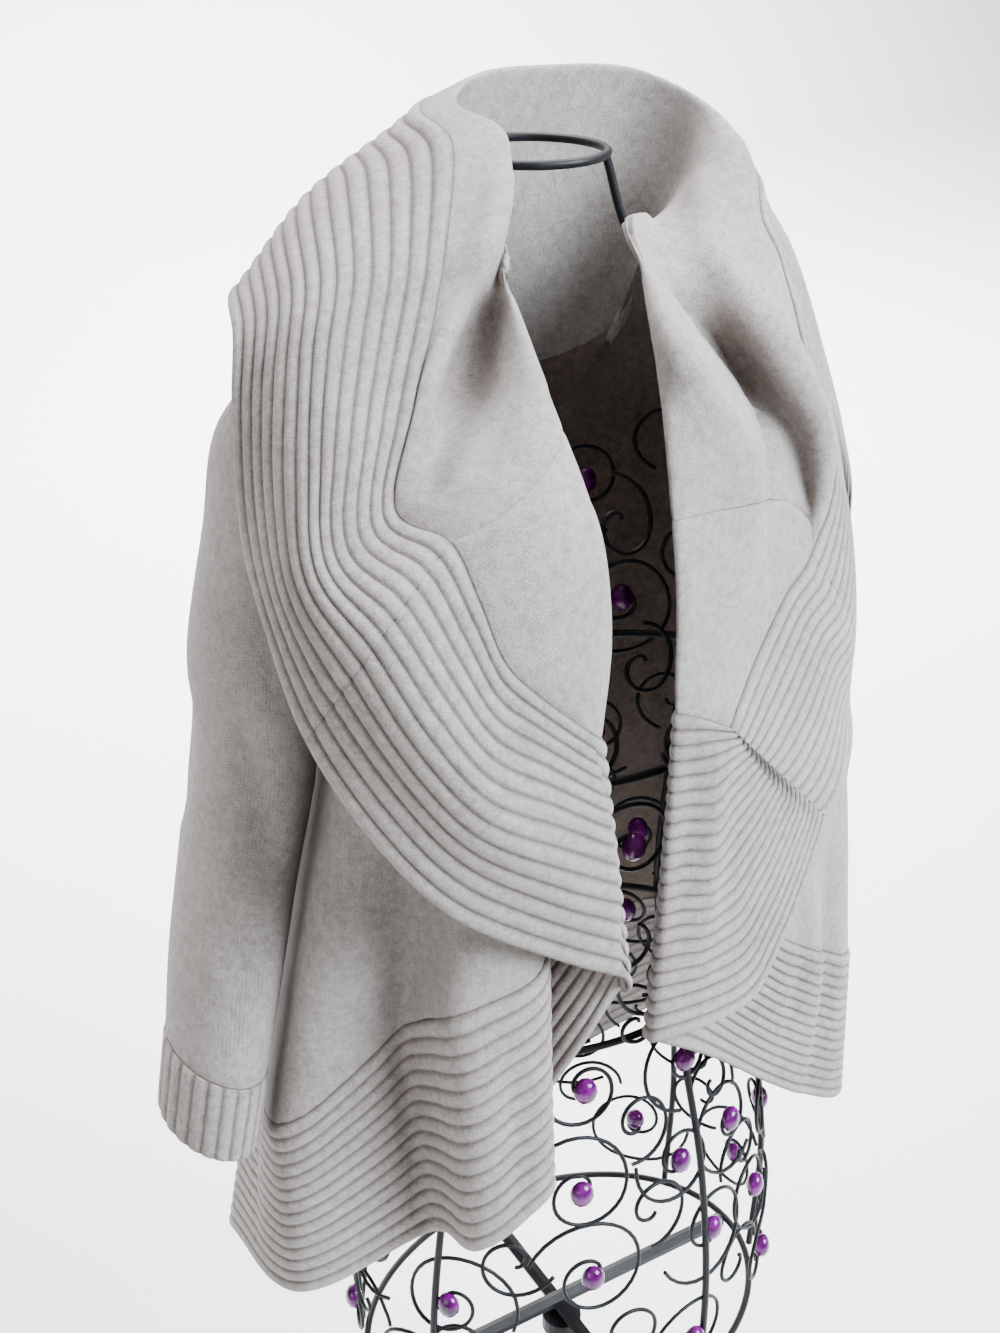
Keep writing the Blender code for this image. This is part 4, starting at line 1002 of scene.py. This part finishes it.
def tube_lean(rings, side):
    """Unit normals of a tube whose last column repeats its first, pointing out."""
    after = np.concatenate([rings[:, 1:], rings[:, 1:2]], 1)
    before = np.concatenate([rings[:, -2:-1], rings[:, :-1]], 1)
    return unit(-np.cross(after - before, np.gradient(rings, axis=0)) * side)


def armhole(front, front_row, back_row, side):
    """The ring of points where a sleeve starts, just off the right side of the panels."""
    above = 2 * LEVEL_STEPS
    ahead, behind = ((SHEETS[name] - NORMALS[name] * WALL)[row][above:]
                     for name, row in ((front, front_row), ("back", back_row)))
    ring = np.concatenate([ahead, behind[::-1][1:-1]])
    return np.concatenate([ring, ring[:1]]) + [side * SLEEVE_GAP, 0, 0]


def make_sleeve(label, table, side, ring):
    """A sleeve from its armhole to the cuff seam."""
    rings = tube_rings(table, side, np.arange(SLEEVE_SIDES + 1) * math.tau / SLEEVE_SIDES)
    rings[0] = ring
    fine = curve_at(rings, places_for(rings[:-1], 0, SLEEVE_STEP))
    lean = tube_lean(fine, side)
    dip = edge_dip(fine, across=False)[..., None]
    relief = crease_relief("sleeve_" + label, fine)[..., None]
    piece = knit_wall("knit_sleeve_" + label, fine + lean * (relief - dip),
                      fine + lean * (relief - WALL + dip), stitch_map(fine, 1), PLAIN_WOOL,
                      PAINTED_SHADE_INSIDE_WOOL, closed=True)
    declare_cloth(fine, "sleeve_" + label)


def make_cuff(label, table, side):
    """The ribbed cuff of a sleeve, which continues its last two rings."""
    ribs, heights = rib_section(CUFF_RIBS, CUFF_PLACES)
    raised = heights * CUFF_RIB_HEIGHT
    ends = tube_rings(table[-3:], side, ribs / CUFF_RIBS * math.tau)
    fine = curve_at(ends, 1 + places_for(ends[1:], 0, SLEEVE_STEP))
    lean = tube_lean(fine, side)
    dip = edge_dip(fine, across=False)
    behind = (CUFF_RIB_HEIGHT - raised) / 2
    knit = np.stack([np.broadcast_to(ribs * RIB_PITCH, fine.shape[:2]), lengths(fine, 0)], -1)
    piece = knit_wall("knit_cuff_" + label, fine + lean * (raised - dip)[..., None],
                      fine - lean * (WALL + behind - dip)[..., None], knit, RIBBED_WOOL,
                      RIBBED_WOOL, closed=True)
    declare_cloth(fine, "cuff_" + label)


SLEEVES = (("right", SLEEVE_RIGHT, -1, -1, 0), ("left", SLEEVE_LEFT, 1, 0, -1))
for label, table, side, front_row, back_row in SLEEVES:
    make_sleeve(label, table, side, armhole("front_" + label, front_row, back_row, side))
    make_cuff(label, table, side)


# %% [markdown]
# ## Paint and glass
# The form is bent steel wire under satin black paint, with beads of purple glass. Paint on welded
# wire is a little uneven, so its colour and its shine follow one slow noise. Real glass would
# glow with light from behind: here that glow is painted, as a deep colour that varies, under a
# clear coat.

# %% Paint and glass
LEAST_ROUGHNESS, ROUGHNESS_RANGE = 0.34, 0.28


def black_paint():
    """Satin black paint over welded wire, a little uneven, with dust in random patches."""
    material, tree, shader = new_material("black_painted_wire", {"Specular IOR Level": 0.30})
    place = add_node(tree, "TexCoord", "Object", {})
    patches = noise(tree, place, size=0.018, detail=4.0)
    colour = ramp(tree, patches, (0.35, (0.004, 0.004, 0.006)), (0.62, (0.008, 0.008, 0.011)),
                  (0.8, (0.020, 0.020, 0.024)))
    tree.links.new(colour, shader.inputs["Base Color"])
    rough = calc(tree, "ADD", calc(tree, "MULTIPLY", patches, ROUGHNESS_RANGE), LEAST_ROUGHNESS)
    tree.links.new(rough, shader.inputs["Roughness"])
    grain = noise(tree, place, size=0.0015, detail=4.0, roughness=0.6)
    tree.links.new(bump(tree, grain, distance=0.0003, strength=0.4), shader.inputs["Normal"])
    return material


def bead_glass():
    """Deep purple glass, with a painted glow in lighter patches where light would shine through.
    """
    material, tree, shader = new_material("purple_glass", {"Roughness": 0.16, "Coat Weight": 0.4,
                                                           "Coat Roughness": 0.06})
    painted_glow_patches = noise(tree, add_node(tree, "TexCoord", "Object", {}), size=0.009, detail=2.0)
    colour = ramp(tree, painted_glow_patches, (0.30, (0.035, 0.001, 0.042)), (0.52, (0.13, 0.002, 0.15)),
                  (0.72, (0.32, 0.006, 0.33)))
    tree.links.new(colour, shader.inputs["Base Color"])
    return material


PAINT = black_paint()
PURPLE = bead_glass()
print("finishes:", PAINT.name, PURPLE.name)

# %% [markdown]
# ## The wire form
# A curve with a round bevel is the quickest way to a smooth wire, and one curve object can hold
# many of them, such as all the scrolls. The form's own shape is a table of ellipses from the hip
# hoop to the neck ring, and every wire is a line drawn on it.

# %% Form sizes
# Level, height, half width, half depth, how far the centre stands aside and back.
FORM_LEVELS = (
    ("hip hoop", 0, 157, 117, 0, 0),
    ("hip", 100, 160, 116, 0, 0),
    ("upper hip", 200, 146, 105, 0, 0),
    ("waist", 305, 118, 86, 0, 2),
    ("rib cage", 405, 125, 90, 0, 1),
    ("bust", 500, 136, 92, -1, 0),
    ("chest", 590, 136, 82, -4, 6),
    ("armpit", 655, 137, 68, -7, 14),
    ("shoulder", 704, 138, 46, -10, 24),
    ("slope", 732, 97, 42, -10, 31),
    ("neck base", 770, 54, 43, -4, 40),
    ("neck ring", 820, 42, 42, -11, 42),
)
WIRE = 0.0050
CLEARANCE = 0.0004
HOOP_POINTS = 96
UPRIGHT_STEPS = 5
LEVELS = np.array([row[1:] for row in FORM_LEVELS], float)
HOOPS = (("form_hip_hoop", 0), ("form_waist_hoop", 305), ("form_bust_hoop", 500))
# Degrees from the front, and the height at which an upright ends.
UPRIGHTS = ((15, 500), (75, 820), (120, 500), (180, 820), (240, 500), (300, 820))


def form_size(height):
    """Half width, half depth, and how far aside and back the centre stands at a height."""
    return [np.interp(height, LEVELS[:, 0], column) for column in LEVELS[:, 1:].T]


def form_point(height, angle, inset=0.0):
    """A point on the form; the angle runs from the front round by the wearer's left."""
    half_width, half_depth, aside, back = form_size(height)
    x = aside + (half_width - inset) * math.sin(angle)
    y = back - (half_depth - inset) * math.cos(angle)
    return np.array([x, y, height]) * MM + [0, 0, HOOP_HEIGHT]


# %% [markdown]
# The main wires stand exactly where their nodes are. A hoop lies inside the uprights, so it is
# inset by one wire and a hair's breadth, as a welder would lay it.

# %% Main wires
def wires(name, lines, radius, closed=False, bevel=3, node=None):
    """One curve object with a round wire along each line of points."""
    curve = bpy.data.curves.new(name, "CURVE")
    curve.dimensions = "3D"
    curve.bevel_depth = radius
    curve.bevel_resolution = bevel
    curve.use_fill_caps = True
    for line in lines:
        spline = curve.splines.new("POLY")
        spline.points.add(len(line) - 1)
        for point, place in zip(spline.points, line):
            point.co = (*place, 1)
        spline.use_cyclic_u = closed
        spline.use_smooth = True
    curve.materials.append(PAINT)
    thing = add_to_scene(name, curve)
    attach(thing, "root")
    if node:
        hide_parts(node)


def make_main_wires():
    """Hoops, neck ring and uprights, each in the place of its node."""
    inset = (WIRE + CLEARANCE) / MM
    around = np.linspace(0, math.tau, HOOP_POINTS, endpoint=False)
    for node, height in HOOPS:
        ring = [form_point(height, turn, inset) for turn in around]
        wires("wire_" + node.removeprefix("form_"), [ring], WIRE / 2, closed=True, node=node)
    top = FORM_LEVELS[-1][1]
    ring = [form_point(top, turn) for turn in around[::2]]
    wires("wire_neck_ring", [ring], WIRE / 2, closed=True, node="form_neck_ring")
    for number, (degrees, end) in enumerate(UPRIGHTS, 1):
        levels = [row[1] for row in FORM_LEVELS if row[1] < end]
        levels.append(top - WIRE / MM if end == top else end)
        line = [form_point(height, math.radians(degrees)) for height in levels]
        smooth_line = curve_at(line, evenly(len(line), UPRIGHT_STEPS))
        wires(f"wire_upright_{number}", [smooth_line], WIRE / 2, node=f"form_upright_{number}")


make_main_wires()
print(len(HOOPS) + 1 + len(UPRIGHTS), "main wires")

# %% [markdown]
# ## Scrolls and beads
# Thin wire is wound into flat spirals and welded between the uprights. Each has a smaller partner
# beside it, which winds the other way. A spiral is drawn as if on paper, in millimetres along and
# up the form, and then bent round it.

# %% Scrolls
THIN_WIRE = 0.0028
SCROLL_TURNS = 1.6
SCROLL_POINTS = 44
SCROLL_INSET = 1.0  # mm behind the form's surface
INNERMOST = 0.12  # where a scroll begins, as a share of its radius
START_TURN = 3  # how much further the start of a scroll turns than it stands round the form
LOWEST, HIGHEST = 4, 700
# A partner stands this many millimetres up and degrees round, and winds the other way.
PARTNER_UP, PARTNER_ROUND, PARTNER_SIZE, PARTNER_TURNS = 36, 17, -0.66, 1.25
# Height of the centre above the hip hoop, degrees from the front, and outer radius, which is
# negative where a scroll winds the other way.
SCROLLS = (
    (52, 12, 46), (50, 52, -46), (60, 92, 44), (54, 132, -46), (52, 172, 46), (56, 212, -46),
    (52, 252, 44), (58, 292, -46), (54, 334, 46), (140, 18, -44), (135, 40, 38), (148, 74, -44),
    (142, 114, 44), (138, 152, -46), (146, 192, 44), (140, 232, -46), (144, 270, 42),
    (128, 304, -44), (146, 342, 46), (212, 29, 42), (226, 62, -40), (222, 100, 44),
    (216, 140, -42), (224, 180, 44), (218, 220, -42), (226, 258, 42), (214, 298, -44),
    (212, 339, 42), (210, 8, -34), (282, 340, -34), (278, 14, 36), (274, 52, -34), (286, 92, 34),
    (276, 134, -36), (282, 176, 34), (274, 218, -34), (284, 262, 34), (276, 304, -34),
    (352, 6, -36), (346, 46, 34), (356, 88, -36), (348, 130, 36), (354, 172, -36), (346, 214, 36),
    (356, 258, -36), (350, 304, 36), (344, 334, -30), (420, 24, 38), (428, 64, -38),
    (418, 106, 38), (426, 148, -38), (420, 190, 38), (428, 232, -38), (418, 272, 38),
    (426, 312, -38), (457, 352, 34), (520, 16, -38), (526, 58, 40), (518, 100, -38),
    (524, 142, 40), (518, 182, -38), (526, 222, 40), (520, 262, -38), (524, 300, 40),
    (530, 340, -36), (604, 24, 38), (610, 66, -38), (602, 110, 38), (608, 154, -38),
    (602, 206, 38), (608, 250, -38), (604, 294, 38), (606, 340, -38),
)


def scroll(height, degrees, radius, turns=SCROLL_TURNS):
    """A spiral on the form, from its middle out."""
    centre = math.radians(degrees)
    half_width, half_depth = form_size(height)[:2]
    bend = math.hypot(half_width * math.cos(centre), half_depth * math.sin(centre))
    line = []
    for share in np.linspace(INNERMOST, 1, SCROLL_POINTS):
        turn = math.copysign(share, radius) * turns * math.tau + centre * START_TURN
        reach = abs(radius) * share
        up = min(max(height + reach * math.sin(turn), LOWEST), HIGHEST)
        line.append(form_point(up, centre + reach * math.cos(turn) / bend, SCROLL_INSET))
    return line


PARTNERS = [(height + PARTNER_UP, degrees + PARTNER_ROUND, radius * PARTNER_SIZE, PARTNER_TURNS)
            for height, degrees, radius in SCROLLS]
wires("wire_scrolls", [scroll(*row) for row in SCROLLS], THIN_WIRE / 2, bevel=1)
wires("wire_small_scrolls", [scroll(*row) for row in PARTNERS], THIN_WIRE / 2, bevel=1)
print(len(SCROLLS) + len(PARTNERS), "scrolls")

# %% [markdown]
# A glass bead sits in the middle of each large scroll: an oval dome that looks outwards. A ball
# of triangles of one size, squashed in two directions, looks round from close by with few faces.

# %% Beads
BEAD = 0.0085
BEAD_SHAPE = (0.92, 1.12, 0.72)  # across, up and outwards, as shares of its radius
BEAD_LIFT = 0.001
DEEPER = 20  # mm, far enough inwards to tell which way out is


def bead(mesh, place, out):
    """An oval glass bead that looks outwards."""
    grown = bmesh.ops.create_icosphere(mesh, subdivisions=2, radius=BEAD)["verts"]
    side = unit(np.cross((0, 0, 1), out))
    over = np.cross(out, side)
    wide, tall, deep = BEAD_SHAPE
    for vert in grown:
        x, y, z = vert.co
        vert.co = place + side * x * wide + over * y * tall + out * z * deep


def make_beads():
    """One mesh with a bead at the middle of each large scroll."""
    mesh = bmesh.new()
    for height, degrees, _ in SCROLLS:
        angle = math.radians(degrees)
        place = form_point(height, angle)
        out = unit(place - form_point(height, angle, DEEPER))
        bead(mesh, place + out * BEAD_LIFT, out)
    bmesh.ops.recalc_face_normals(mesh, faces=mesh.faces)
    finish("glass_beads", mesh, [PURPLE])


make_beads()
print(len(SCROLLS), "beads")

# %% [markdown]
# ## The rest of the frame
# Bars, pole and base already have the right shape, so they only get the paint.

# %% Carried-over nodes
for node in ("form_cross_bar", "form_deep_bar", "form_pole", "form_base"):
    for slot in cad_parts[node].material_slots:
        slot.material = PAINT
